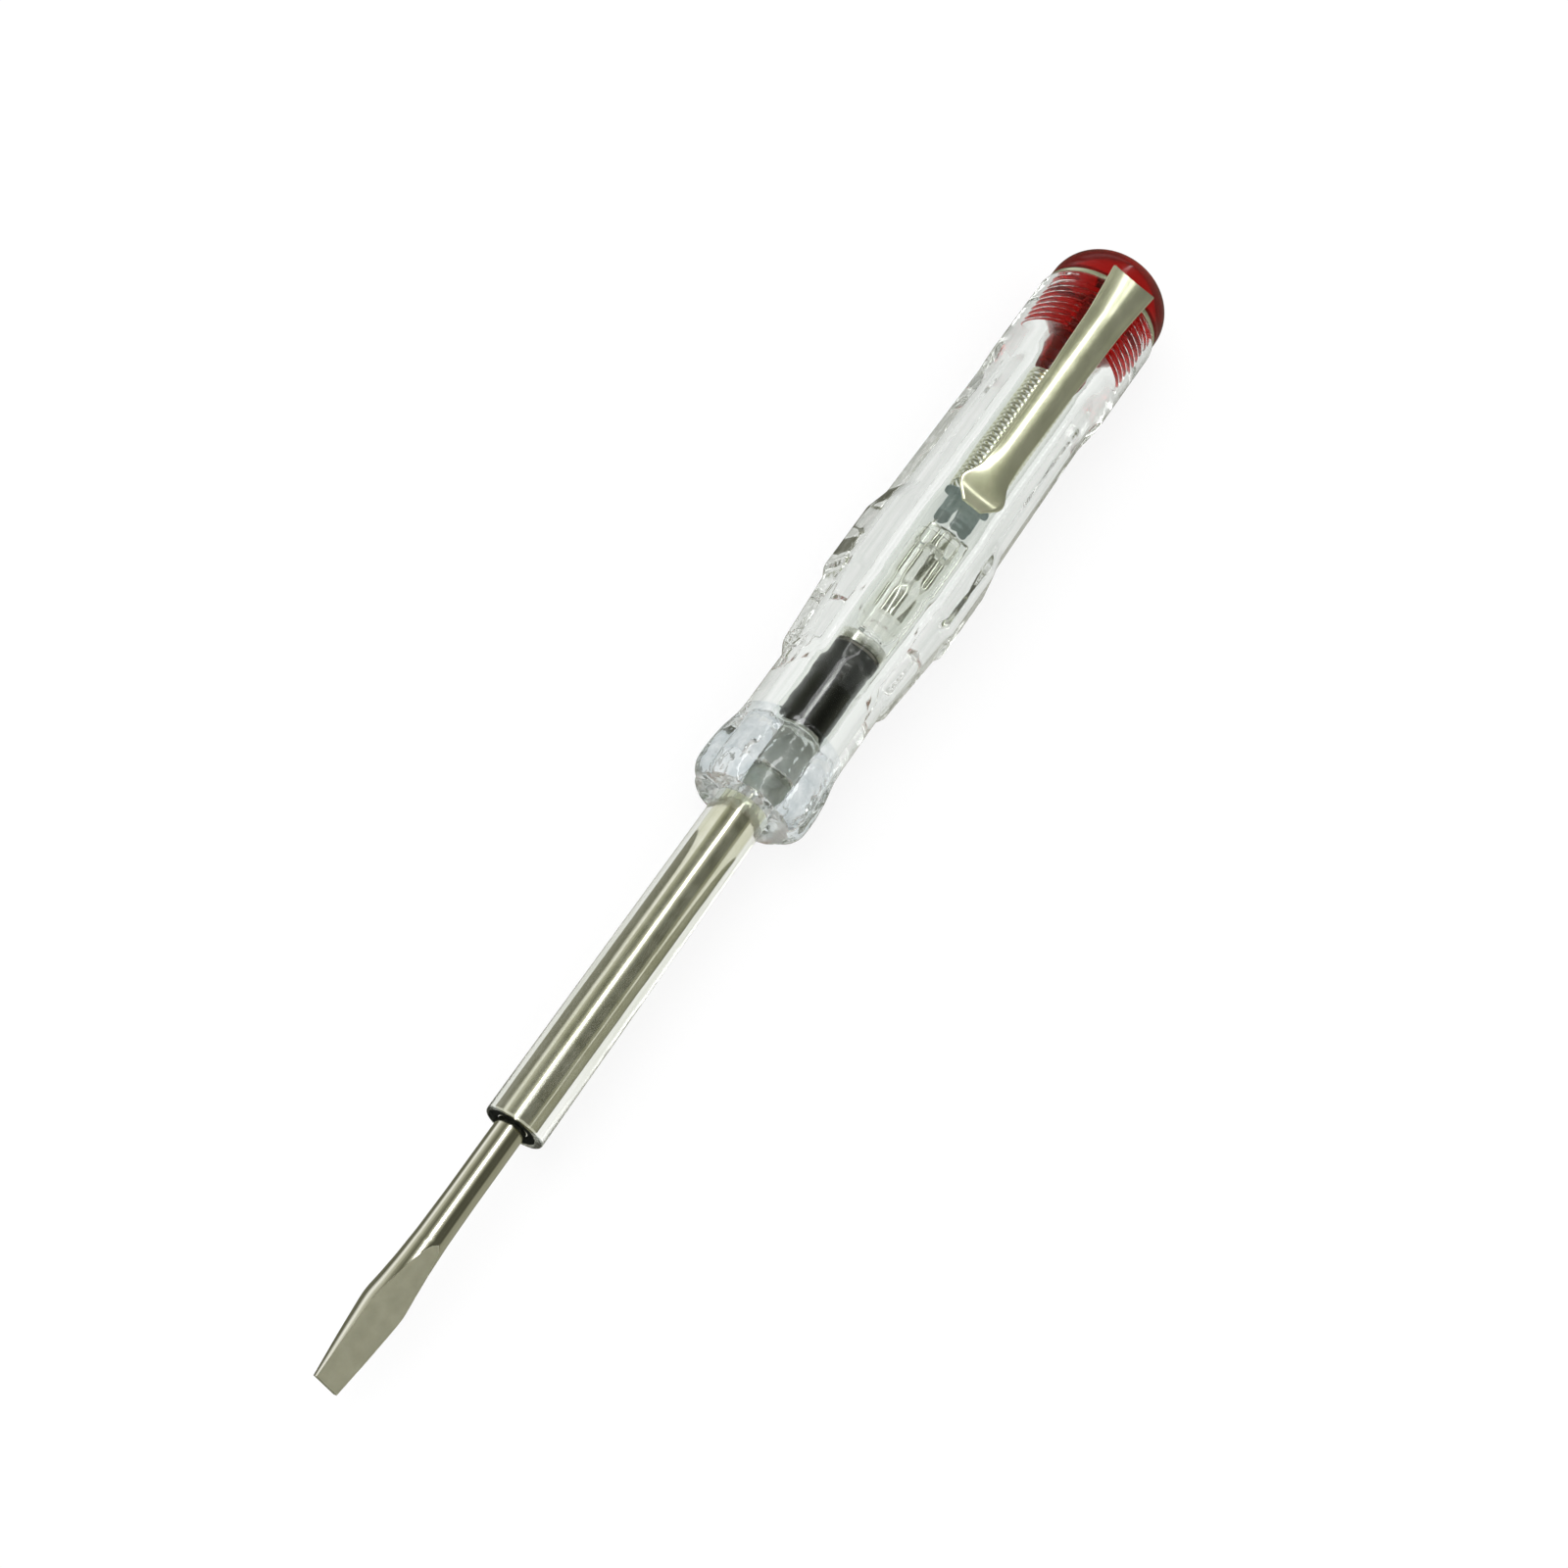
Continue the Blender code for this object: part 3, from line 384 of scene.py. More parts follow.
tin, shader = new_material("tinned_steel", (0.90, 0.90, 0.86), 0.24, metallic=1.0)
vary_shine(shader, 0.18, 0.34, 1500.0)
tint(shader, (0.84, 0.84, 0.79), (0.95, 0.95, 0.92), 1200.0)

coated_wire, shader = new_material("coated_wire", (0.93, 0.93, 0.90), 0.12, metallic=1.0)
vary_shine(shader, 0.08, 0.20, 1500.0)
tint(shader, (0.88, 0.88, 0.84), (0.96, 0.96, 0.94), 1500.0)

brass, shader = new_material("brass", (0.78, 0.60, 0.28), 0.28, metallic=1.0)
vary_shine(shader, 0.22, 0.36, 1200.0)
tint(shader, (0.66, 0.48, 0.20), (0.82, 0.64, 0.32), 900.0)
metals = (nickel, ground_steel, pressed_steel, clip_nickel, tin, coated_wire, brass)
print("metals:", [metal.name for metal in metals])

# %% [markdown]
# ### Clear plastics and glass
# Handle and sleeve are clear plastics, which bend light by their index. A moulding is never quite even:
# the melt leaves streaks and a ripple, and the thick bulb has the strongest ripple and cloudy patches.
# The sleeve is softer and a little yellow. Its cut front face is painted near black as painted shade.

# %% Clear plastics, the painted shade on the sleeve's cut and the lamp's glass
clear_hard, shader = new_material("clear_handle", (0.92, 0.94, 0.93), 0.02, transmission=1.0, index=1.49)
shader.inputs["Specular Tint"].default_value = grey(0.4)
streak(shader, (0.77, 0.805, 0.77), (0.935, 0.95, 0.93), 1100.0)
shrink(shader, 260.0, 0.00008)
vary_shine(shader, 0.0, 0.05, 300.0)

clear_bulb, shader = new_material("clear_bulb", (0.84, 0.88, 0.89), 0.08, transmission=1.0, index=1.49)
shrink(shader, 420.0, 0.00038)
vary_shine(shader, 0.03, 0.14, 500.0)
tint(shader, (0.43, 0.50, 0.52), (0.93, 0.965, 0.965), 420.0)

clear_soft, shader = new_material("clear_vinyl", (0.96, 0.975, 0.95), 0.06, transmission=1.0, index=1.46)
streak(shader, (0.74, 0.76, 0.66), (0.97, 0.98, 0.95), 900.0)
shrink(shader, 180.0, 0.00006)
vary_shine(shader, 0.03, 0.10, 300.0)

# Painted shade: a near black finish on the sleeve's cut face, where a clear tube's end looks dark.
cut_shade, shader = new_material("painted_shade_cut", (0.008, 0.009, 0.008), 0.45)
shader.inputs["Specular IOR Level"].default_value = 0.0
tint(shader, (0.004, 0.005, 0.004), (0.02, 0.021, 0.018), 2500.0)

glass, shader = new_material("lamp_glass", (0.99, 0.99, 0.97), 0.0, transmission=1.0, index=1.50)
shrink(shader, 500.0, 0.00004)
print("clear and sooty:", clear_hard.name, clear_bulb.name, clear_soft.name, cut_shade.name, glass.name)

# %% [markdown]
# ### The red plastic
# The cap's plastic swallows light along its depth, so it is near black where it is thick and bright red
# where it is thin. A colour on the skin would be the same everywhere, so most of it is absorption inside.

# %% Red plastic
RED_DEPTH = 950.0
red, shader = new_material("red_cap", (0.95, 0.08, 0.07), 0.03, transmission=0.90, index=1.50)
shader.inputs["Specular Tint"].default_value = grey(0.15)
shrink(shader, 220.0, 0.00008)
vary_shine(shader, 0.0, 0.06, 300.0)
depth = red.node_tree.nodes.new("ShaderNodeVolumeAbsorption")
depth.inputs["Color"].default_value = (0.865, 0.02, 0.02, 1.0)
depth.inputs["Density"].default_value = RED_DEPTH
red.node_tree.links.new(depth.outputs["Volume"], red.node_tree.nodes["Material Output"].inputs["Volume"])
print("red plastic swallows", RED_DEPTH, "per metre")

# %% [markdown]
# ### Solids inside the handle
# The resistor's black lacquer is smooth and mirrors the strip light as one band along it. The ceramic is
# dull. The plug is dark, but little light reaches it through the handle, so its own colour is a mid grey.

# %% Lacquer, ceramic and carbon
lacquer, shader = new_material("black_lacquer", (0.004, 0.005, 0.0045), 0.12)
shader.inputs["Specular IOR Level"].default_value = 0.8
vary_shine(shader, 0.08, 0.16, 2600.0)
shrink(shader, 2200.0, 0.00003)

ceramic, shader = new_material("ceramic", (0.80, 0.78, 0.70), 0.6)
tint(shader, (0.74, 0.72, 0.64), (0.84, 0.82, 0.76), 1500.0)

carbon, shader = new_material("carbon_rubber", (0.42, 0.50, 0.49), 0.55)
tint(shader, (0.34, 0.42, 0.41), (0.50, 0.58, 0.57), 1800.0)
vary_shine(shader, 0.45, 0.7, 1500.0)
print("solids inside:", lacquer.name, ceramic.name, carbon.name)

# %% [markdown]
# ## The blade
# The blade is one rod of plated steel. Its end is pressed between two planes that open from the tip and
# run out on the round rod, which spreads it a little, and the flats are ground. A round bar cut by two
# flats is simple to describe at any place along the rod: a circle of some width between two planes of
# some distance. The same ring, much flatter, makes the two wings of the root that the handle is moulded
# round. Flats and root carry their own materials.

# %% Blade: places, widths and thicknesses
ROD_DIAMETER = 0.0030
RUNOUT_AT = 0.0160
BLADE_WIDTHS = (
    (0.0, 0.00285), (0.0040, 0.0036), (0.0080, 0.0042), (0.0088, 0.0042), (0.0104, 0.0038),
    (0.0128, 0.0034), (RUNOUT_AT, 0.0031),
)
SECTION_EASE = 0.0004
FLAT_PLACES = 40
TIP_THICKNESS = 0.0005
FLAT_SLOPE = 0.1525
RUNOUT_LIFT = 0.00035
RUNOUT_LIFT_AT = 0.0150
RUNOUT_POWER = 8
ROD_PLACES = (0.0200, 0.0450)
PRESSED_FROM = 0.0673
# Distance, width and thickness, from the place where the wings start.
WING_SECTIONS = (
    (0.0, 0.0030, 0.0030),
    (0.0007, 0.0048, 0.0011),
    (0.0034, 0.0048, 0.0011),
    (0.0041, 0.0030, 0.0011),
    (0.0044, 0.0030, 0.0011),
)
BLADE_ROLL = math.radians(27.5)
ARC_STEPS = 12
FLAT_STEPS = 6
BORE_LEAD = 0.0006
rod_radius = ROD_DIAMETER / 2
bore_at = span("resistor_front_ferrule")[0] - BORE_LEAD
print("blade root ends", round(bore_at * 1000, 2), "mm from the tip")


# %% Blade: its rings
def cut_round(along, width, thickness):
    """A circle of some width between two flats, as half turns from one side over the top and back."""
    radius = width / 2
    edge = math.asin(min(thickness / width, 1.0))
    quarter = [(radius * math.cos(edge * step / ARC_STEPS), radius * math.sin(edge * step / ARC_STEPS))
               for step in range(ARC_STEPS + 1)]
    reach = quarter[-1][0]
    half = [(reach * (1 - step / FLAT_STEPS), quarter[-1][1]) for step in range(1, FLAT_STEPS + 1)]
    top = quarter + half
    top += [(-across, up) for across, up in reversed(top[:-1])]
    outline = top + [(-across, -up) for across, up in top[1:-1]]
    points = []
    for across, up in outline:
        turn = math.atan2(-across, up) + BLADE_ROLL
        points.append(spot(along, math.hypot(across, up), turn))
    return points


def between(stations, along):
    """Each value of a list of stations, worked out at a place along it."""
    for near, far in zip(stations, stations[1:]):
        if near[0] <= along <= far[0]:
            share = (along - near[0]) / (far[0] - near[0])
            return [low + (high - low) * share for low, high in zip(near[1:], far[1:])]
    return list(stations[-1][1:])


def eased(stations, along, reach, samples=3):
    """The same with each corner eased, as a mean over places up to a reach to both sides."""
    shifts = [reach * (2 * index / (samples - 1) - 1) for index in range(samples)]
    places = [min(max(along + shift, stations[0][0]), stations[-1][0]) for shift in shifts]
    rows = [between(stations, place) for place in places]
    return [sum(column) / len(column) for column in zip(*rows)]


def blade_ring(along):
    """One ring of the pressed end."""
    width = eased(BLADE_WIDTHS, along, SECTION_EASE)[0]
    lift = RUNOUT_LIFT * (along / RUNOUT_LIFT_AT) ** RUNOUT_POWER
    return cut_round(along, width, min(TIP_THICKNESS + FLAT_SLOPE * along + lift, width))


# %% Blade: the skin. Places are rounded, because two rings at nearly one place would crease the flat
places = [station[0] for station in BLADE_WIDTHS]
places += [RUNOUT_AT * step / FLAT_PLACES for step in range(1, FLAT_PLACES)]
rings = [blade_ring(along) for along in sorted({round(place, 6) for place in places})]
rings += [cut_round(along, ROD_DIAMETER, ROD_DIAMETER) for along in (*ROD_PLACES, PRESSED_FROM)]
wing_at = bore_at - WING_SECTIONS[-1][0]
rings += [cut_round(wing_at + along, width, thickness) for along, width, thickness in WING_SECTIONS]
blade = skin("blade_forged", rings)
for material in (nickel, ground_steel, pressed_steel):
    blade.data.materials.append(material)
ring_count = len(rings[0])
for face in blade.data.polygons[:-2]:
    place_in_half = face.index % ring_count % (ring_count // 2)
    if face.center.x < TIP_X + RUNOUT_AT and ARC_STEPS <= place_in_half < ARC_STEPS + 2 * FLAT_STEPS:
        face.material_index = 1
    if face.center.x > TIP_X + PRESSED_FROM:
        face.material_index = 2
dress(blade, "handle_body", nickel, "nickel_plate", "blade")

# %% [markdown]
# ## The clear sleeve
# A clear soft tube hugs the rod, so that the blade is bare only near its tip. Because it touches the
# rod, it works as a lens and shows the metal wider than it is. Its front edge is cut square and then
# rounded by the heat of the cut, and the warm end has sagged a little to one side. A closed outline
# turned round the rod makes both walls at once, and each ring is shifted by its share of the sag.

# %% Sleeve
sleeve_front, sleeve_rear, _ = span("insulating_sleeve")
SLEEVE_FRONT_RADIUS = 0.0030
SLEEVE_REAR_RADIUS = 0.0028
SLEEVE_SAG = 0.00022
SLEEVE_EASE = 0.0005
SLEEVE_AROUND = 96
# The painted shade covers the flat cut face out to this radius and this far back from the front.
CUT_SHADE_RADIUS = 0.0025
CUT_SHADE_DEPTH = 0.0005
FRONT_FACING = -0.5
# Clear pieces overlap what they touch by this much, so that no film of air shows between them.
CONTACT = 0.00002
outline = [
    (sleeve_front, rod_radius - CONTACT),
    (sleeve_front, CUT_SHADE_RADIUS),
    (sleeve_front, SLEEVE_FRONT_RADIUS),
    (sleeve_rear, SLEEVE_REAR_RADIUS),
    (sleeve_rear, rod_radius - CONTACT),
]
rings = []
for along, radius in rounded(outline, SLEEVE_EASE, closed=True, steps=5):
    left_share = (sleeve_rear - along) / (sleeve_rear - sleeve_front)
    thick_share = (radius - rod_radius) / (SLEEVE_FRONT_RADIUS - rod_radius)
    sag = Vector((0.0, -SLEEVE_SAG * left_share * max(thick_share, 0.0), 0.0))
    rings.append([point + sag for point in circle(along, radius, SLEEVE_AROUND)])
sleeve = skin("sleeve_clear", rings, ends="loop")
sleeve.data.materials.append(clear_soft)
sleeve.data.materials.append(cut_shade)
# The flat front faces within the shade radius get the painted shade finish.
cut_shade_end = TIP_X + sleeve_front + CUT_SHADE_DEPTH
for face in sleeve.data.polygons:
    out = math.hypot(face.center.y, face.center.z - AXIS_Z)
    if face.normal.x < FRONT_FACING and face.center.x < cut_shade_end and out < CUT_SHADE_RADIUS:
        face.material_index = 1
dress(sleeve, "handle_body", clear_soft, "clear_vinyl", "insulating_sleeve")

# %% [markdown]
# ## The handle
# The handle is one clear moulding: a lobed bulb that stops the fingers, a round neck, flats that start as
# arches where they cut into the swell, and a round collar that takes the cap. A smooth way to model such
# a form is to say, for each direction round the axis, how far out the skin lies: the lesser of a turned
# shape and the flats, eased where they meet. The bore, the thread and the seat for the sleeve are part
# of the same skin, because a clear piece shows its inside.

# %% Handle: the turned shape, the flats and the valleys of the bulb, as distance and radius or depth
handle_front, handle_rear, _ = span("handle")
FACETS = 7
LOBES = 8
AROUND = FACETS * LOBES * 3
TURNED = (
    (handle_front, 0.00515), (0.0665, 0.0055), (0.0669, 0.0059), (0.0676, 0.00622), (0.0688, 0.0063),
    (0.0700, 0.00628), (0.0718, 0.00612), (0.0730, 0.00588), (0.0740, 0.00568), (0.0754, 0.00560),
    (0.0822, 0.00558), (0.0836, 0.00635), (0.0918, 0.0069), (0.0929, 0.00745), (0.1009, 0.00745),
    (0.1035, 0.0068), (0.1216, 0.0066), (0.1242, 0.00675), (0.1345, 0.00675), (0.1348, 0.00645),
)
FLATS = (
    (handle_front, 0.0075), (0.0754, 0.0064), (0.0822, 0.00562), (0.0836, 0.0059), (0.0918, 0.00655),
    (0.0929, 0.00695), (0.1009, 0.00695), (0.1035, 0.0064), (0.1216, 0.00615), (0.1242, 0.0068),
    (0.1348, 0.0070),
)
VALLEYS = ((handle_front, 0.0003), (0.0676, 0.0008), (0.0718, 0.0008), (0.0744, 0.0), (0.1348, 0.0))
EASE = 0.00004
FILLET = 0.00015
FILLET_SAMPLES = 5
LOBE_SHARPNESS = 2.6


def handle_radius(along, angle):
    """How far the handle's skin lies from its axis: an edge and a lobe's middle are on top."""
    turned_radius, flat_reach, valley = (
        eased(stations, along, FILLET, FILLET_SAMPLES)[0] for stations in (TURNED, FLATS, VALLEYS)
    )
    away = angle % (math.tau / FACETS) - math.pi / FACETS
    lower, higher = sorted((turned_radius, flat_reach / math.cos(away)))
    radius = lower - EASE * math.log(1.0 + math.exp(-(higher - lower) / EASE))
    aside_share = abs((angle * LOBES / math.tau + 0.5) % 1.0 - 0.5) * 2
    return radius - valley * aside_share**LOBE_SHARPNESS


# %% [markdown]
# ### The screw thread
# The cap screws into the handle's mouth. A thread could be a tooth swept along a helix. Here it is only
# a radius that swings once for each turn and each pitch, and the same rule gives both sides. They touch
# all over but along the crests, where a thin gap shows as bright lines, as the air in a real thread does.

# %% Handle: the screw thread inside its mouth
THREAD_PITCH = 0.0008
THREAD_START = 0.1289
THREAD_END = 0.1345
THREAD_MINOR = 0.00338
THREAD_MAJOR = 0.00358
THREAD_PLAY = 0.00006
THREAD_STEPS = 20
CREST_POWER = 28.0


def thread_radius(along, angle, play=0.0):
    """How far a rounded thread lies from the axis. Play opens a gap along its crest."""
    turn = (along - THREAD_START) / THREAD_PITCH - angle / math.tau
    crest_share = 0.5 - 0.5 * math.cos(math.tau * turn)
    touching = THREAD_MINOR + (THREAD_MAJOR - THREAD_MINOR) * crest_share
    return touching + (play * crest_share**CREST_POWER - CONTACT if play else 0.0)


def spread(start, end, step):
    """Even places from start to end, a step or less apart."""
    count = max(1, math.ceil((end - start) / step))
    return [start + (end - start) * index / count for index in range(count + 1)]


thread_places = spread(THREAD_START, THREAD_END, THREAD_PITCH / THREAD_STEPS)
print("thread has", round((THREAD_END - THREAD_START) / THREAD_PITCH, 1), "turns")

# %% Handle: the skin, from the mouth over the outside to the front and back through the bore
SKIN_STEP = 0.00028
BORE_RADIUS = 0.0029
BORE_END = 0.1280
BORE_EASE = 0.0002
ROD_HOLE = rod_radius + 0.00005
SLEEVE_SEAT = 0.00284
BULB_END = 0.0750
angles = [math.tau * step / AROUND for step in range(AROUND)]
rings = []
for along in reversed(spread(handle_front, handle_rear, SKIN_STEP)):
    rings.append([spot(along, handle_radius(along, angle), angle) for angle in angles])
seat_end = sleeve_rear + CONTACT
seat = [(handle_front, SLEEVE_SEAT), (seat_end, SLEEVE_SEAT), (seat_end, ROD_HOLE)]
bore = [(bore_at, ROD_HOLE), (bore_at, BORE_RADIUS), (BORE_END, BORE_RADIUS)]
for along, radius in seat + rounded(bore, BORE_EASE):
    rings.append([spot(along, radius, angle) for angle in angles])
for along in thread_places:
    rings.append([spot(along, thread_radius(along, angle, THREAD_PLAY), angle) for angle in angles])
rings.append(circle(handle_rear, THREAD_MINOR - CONTACT, AROUND))
handle = skin("handle_moulded", rings, ends="loop")
handle.data.materials.append(clear_hard)
handle.data.materials.append(clear_bulb)
for face in handle.data.polygons:
    out = math.hypot(face.center.y, face.center.z - AXIS_Z)
    if face.center.x < TIP_X + BULB_END and out > BORE_RADIUS:
        face.material_index = 1
dress(handle, "handle_body", clear_hard, "clear_handle", "handle")

# %% [markdown]
# ## The resistor
# The resistor is a ceramic rod in a black coat with a pressed metal cap at each end. The coat laps over
# the front cap, so that one reads as black as well, while its flat front stays tinned. All of it is seen
# through the clear handle, so the edges are rounded like the real ones. The ceramic rod shows only as a
# sliver, so the CAD node itself stays and takes a finish.

# %% Resistor: the black coat
coat_at, coat_end, coat_radius = span("resistor_coat")
core_radius = span("resistor_core")[2]
COAT_LAP = 0.0005
COAT_SKIN = 0.00004
COAT_EASE = 0.0004
coat_front = coat_at - COAT_LAP
coat_out = coat_radius + COAT_SKIN
outline = [(coat_front, core_radius), (coat_front, coat_out), (coat_end, coat_out), (coat_end, core_radius)]
coat = turned("resistor_black", rounded(outline, COAT_EASE, closed=True), ends="loop")
dress(coat, "handle_body", lacquer, "black_lacquer", "resistor_coat")
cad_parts["resistor_core"].material_slots[0].material = ceramic

# %% Resistor: the two metal caps
FERRULE_WALL = 0.0003
FERRULE_HOLE = 0.0002
FERRULE_EASE = 0.00018
SIDE_FACING = 0.7
for node, facing in (("resistor_front_ferrule", 1), ("resistor_rear_ferrule", -1)):
    start, end, radius = span(node)
    if facing < 0:
        start, end = end, start
    floor_at = start + FERRULE_WALL * facing
    inside = radius - FERRULE_WALL
    outline = [(floor_at, FERRULE_HOLE), (floor_at, inside), (end, inside)]
    outline += [(end, radius), (start, radius), (start, FERRULE_HOLE)]
    piece = turned(node + "_pressed", rounded(outline, FERRULE_EASE))
    if facing > 0:
        piece.data.materials.append(tin)
        piece.data.materials.append(lacquer)
        for face in piece.data.polygons:
            if abs(face.normal.x) < SIDE_FACING:
                face.material_index = 1
    dress(piece, "handle_body", tin, "tinned_steel", node)

# %% [markdown]
# ## The neon lamp
# The lamp is a small glass tube with a round front that ends in the nub where it was sealed off. At its
# rear the glass is pinched round two wires, which carry a thin rod each. One wire folds forward beside
# the tube to the resistor, the other runs on to the plug. The tube needs an inner wall as well as an
# outer one, because glass drawn as a solid lump would work as a strong lens.

# %% Neon lamp: the glass
GLASS_WALL = 0.00035
NUB_LENGTH = 0.0006
NUB_POINT = (0.0001, 0.0003)
NUB_RADIUS = 0.0005
NUB_ROOT_RADIUS = 0.0006
OUTER_HOLE = 0.00005
INNER_HOLE = 0.00002
nub_at, envelope_end, envelope_radius = span("lamp_envelope")


def round_front(start, radius, steps=10):
    """A quarter round from the axis out to a tube's wall."""
    turns = [math.pi / 2 * step / steps for step in range(1, steps + 1)]
    return [(start + radius * (1 - math.cos(turn)), radius * math.sin(turn)) for turn in turns]


front_at = nub_at + NUB_LENGTH
outline = [(nub_at, OUTER_HOLE), (nub_at + NUB_POINT[0], NUB_POINT[1]), (front_at, NUB_RADIUS)]
outline += [point for point in round_front(front_at, envelope_radius) if point[1] > NUB_ROOT_RADIUS]
outline += [(envelope_end, envelope_radius), (envelope_end, envelope_radius - GLASS_WALL)]
outline += round_front(front_at + GLASS_WALL, envelope_radius - GLASS_WALL)[::-1]
outline.append((front_at + GLASS_WALL, INNER_HOLE))
envelope = turned("lamp_envelope_drawn", outline)
dress(envelope, "handle_body", glass, "lamp_glass", "lamp_envelope")

# %% Neon lamp: the pinched seal
SEAL_HOLE = 0.0002
SEAL_TAPER = 0.8
SEAL_EASE = 0.0003
seal_at, seal_end, seal_radius = span("lamp_seal")
outline = [(seal_at, SEAL_HOLE), (seal_at, seal_radius), (envelope_end, seal_radius)]
outline += [(seal_end, seal_radius * SEAL_TAPER), (seal_end, SEAL_HOLE)]
seal = turned("lamp_seal_pinched", rounded(outline, SEAL_EASE), 48)
dress(seal, "handle_body", glass, "lamp_glass", "lamp_seal")

# %% Neon lamp: electrodes and leads
WIRE_EASE = 0.0004
WIRE_STEPS = 6
for side_name in ("left", "right"):
    low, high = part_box("lamp_electrode_" + side_name)
    across = (low.y + high.y) / 2
    route = [(low.x - TIP_X, across), (high.x - TIP_X, across)]
    rod = wire("electrode_" + side_name, route, (high.y - low.y) / 2)
    dress(rod, "handle_body", coated_wire, "tinned_steel", "lamp_electrode_" + side_name)
low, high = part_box("lamp_electrode_left")
inner = (low.y + high.y) / 2
electrode_end = high.x - TIP_X
low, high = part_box("lamp_lead_front")
lead_radius = (high.z - low.z) / 2
beside = low.y + lead_radius
turn_front = low.x + lead_radius - TIP_X
turn_rear = high.x - lead_radius - TIP_X
route = [(electrode_end, inner), (turn_rear, inner), (turn_rear, beside), (turn_front, beside)]
route.append((turn_front, 0.0))
lead = wire("lamp_lead_folded", rounded(route, WIRE_EASE, steps=WIRE_STEPS), lead_radius)
dress(lead, "handle_body", coated_wire, "tinned_steel", "lamp_lead_front")
low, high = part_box("lamp_lead_rear")
route = [(electrode_end, -inner), (turn_rear, -inner), (high.x - TIP_X, -inner / 2)]
lead = wire("lamp_lead_straight", rounded(route, WIRE_EASE, steps=WIRE_STEPS), lead_radius)
dress(lead, "handle_body", coated_wire, "tinned_steel", "lamp_lead_rear")
print("lamp glass is", [round(value * 1000, 2) for value in (nub_at, envelope_end, envelope_radius)], "mm")

# %% [markdown]
# ## The plug and the spring
# A dark plug passes the current on from the lamp's wire, and the spring presses it forward. The plug is
# a pin with a thin flange on which the spring sits. The spring is a round wire laid as rings along a
# helix. Its front stays with the handle and its rear moves with the cap, but here it is laid once, at
# rest, on no body.

# %% Dark plug
plug_at, plug_end, flange_radius = span("contact_slug")
PIN_RADIUS = 0.0011
FLANGE_THICKNESS = 0.00022
PLUG_HOLE = 0.0003
PLUG_EASE = 0.0001
flange_at = plug_end - FLANGE_THICKNESS
outline = [(plug_at, PLUG_HOLE), (plug_at, PIN_RADIUS), (flange_at, PIN_RADIUS), (flange_at, flange_radius)]
outline += [(plug_end, flange_radius), (plug_end, PLUG_HOLE)]
plug = turned("contact_plug", rounded(outline, PLUG_EASE))
dress(plug, "handle_body", carbon, "carbon_rubber", "contact_slug")

# %% Spring
spring_at, spring_end, spring_radius = span("spring")
SPRING_WIRE_RADIUS = 0.00020
SPRING_TURNS = 25
CURL_STEPS = 28
WIRE_SIDES = 10
coil_radius = spring_radius - SPRING_WIRE_RADIUS
run = spring_end - spring_at - 2 * SPRING_WIRE_RADIUS
rings = []
for step in range(SPRING_TURNS * CURL_STEPS + 1):
    angle = math.tau * step / CURL_STEPS
    along = spring_at + SPRING_WIRE_RADIUS + run * step / (SPRING_TURNS * CURL_STEPS)
    ring = []
    for side in range(WIRE_SIDES):
        turn = math.tau * side / WIRE_SIDES
        out = coil_radius + SPRING_WIRE_RADIUS * math.cos(turn)
        ring.append(spot(along + SPRING_WIRE_RADIUS * math.sin(turn), out, angle))
    rings.append(ring)
spring = skin("spring_coiled", rings)
spring.data.materials.append(nickel)
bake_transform(spring)
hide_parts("spring")
print("spring has", SPRING_TURNS, "turns", round(run / SPRING_TURNS * 1000, 3), "mm apart")

# %% [markdown]
# ## The red cap
# The cap screws into the handle's mouth. Its nose presses the spring, and a hand turns it by the dome.
# It is one solid moulding, so the light that comes out of it has crossed the whole of it. A thin brass
# strip runs along it, with one foot under the spring and one behind the clip's washer, and takes the
# current past the plastic.

# %% Cap
cap_at, cap_end, head_radius = span("cap")
NOSE_RADIUS = 0.0026
NOSE_HOLE = 0.0004
NOSE_END = 0.1287
NOSE_EASE = 0.0004
NECK_LEAD = 0.0002
HEAD_AT = 0.1356
HEAD_RIM = 0.0009
HEAD_EASE = 0.0003
DOME_STEPS = 28
CAP_AROUND = 120
cap_angles = [math.tau * step / CAP_AROUND for step in range(CAP_AROUND)]
nose = rounded([(cap_at, NOSE_HOLE), (cap_at, NOSE_RADIUS), (NOSE_END, NOSE_RADIUS)], NOSE_EASE)
rings = [circle(along, radius, CAP_AROUND) for along, radius in nose]
for along in thread_places:
    rings.append([spot(along, thread_radius(along, angle), angle) for angle in cap_angles])
rings.append(circle(THREAD_END + NECK_LEAD, THREAD_MINOR, CAP_AROUND))
head = [(HEAD_AT, THREAD_MINOR), (HEAD_AT, head_radius), (HEAD_AT + HEAD_RIM, head_radius)]
for along, radius in rounded(head, HEAD_EASE):
    rings.append(circle(along, radius, CAP_AROUND))
dome_height = cap_end - HEAD_AT - HEAD_RIM
for step in range(1, DOME_STEPS):
    swing = math.pi / 2 * step / DOME_STEPS
    along = HEAD_AT + HEAD_RIM + dome_height * math.sin(swing)
    rings.append(circle(along, head_radius * math.cos(swing), CAP_AROUND))
cap = skin("cap_red", rings)
dress(cap, "cap_body", red, "red_cap", "cap")

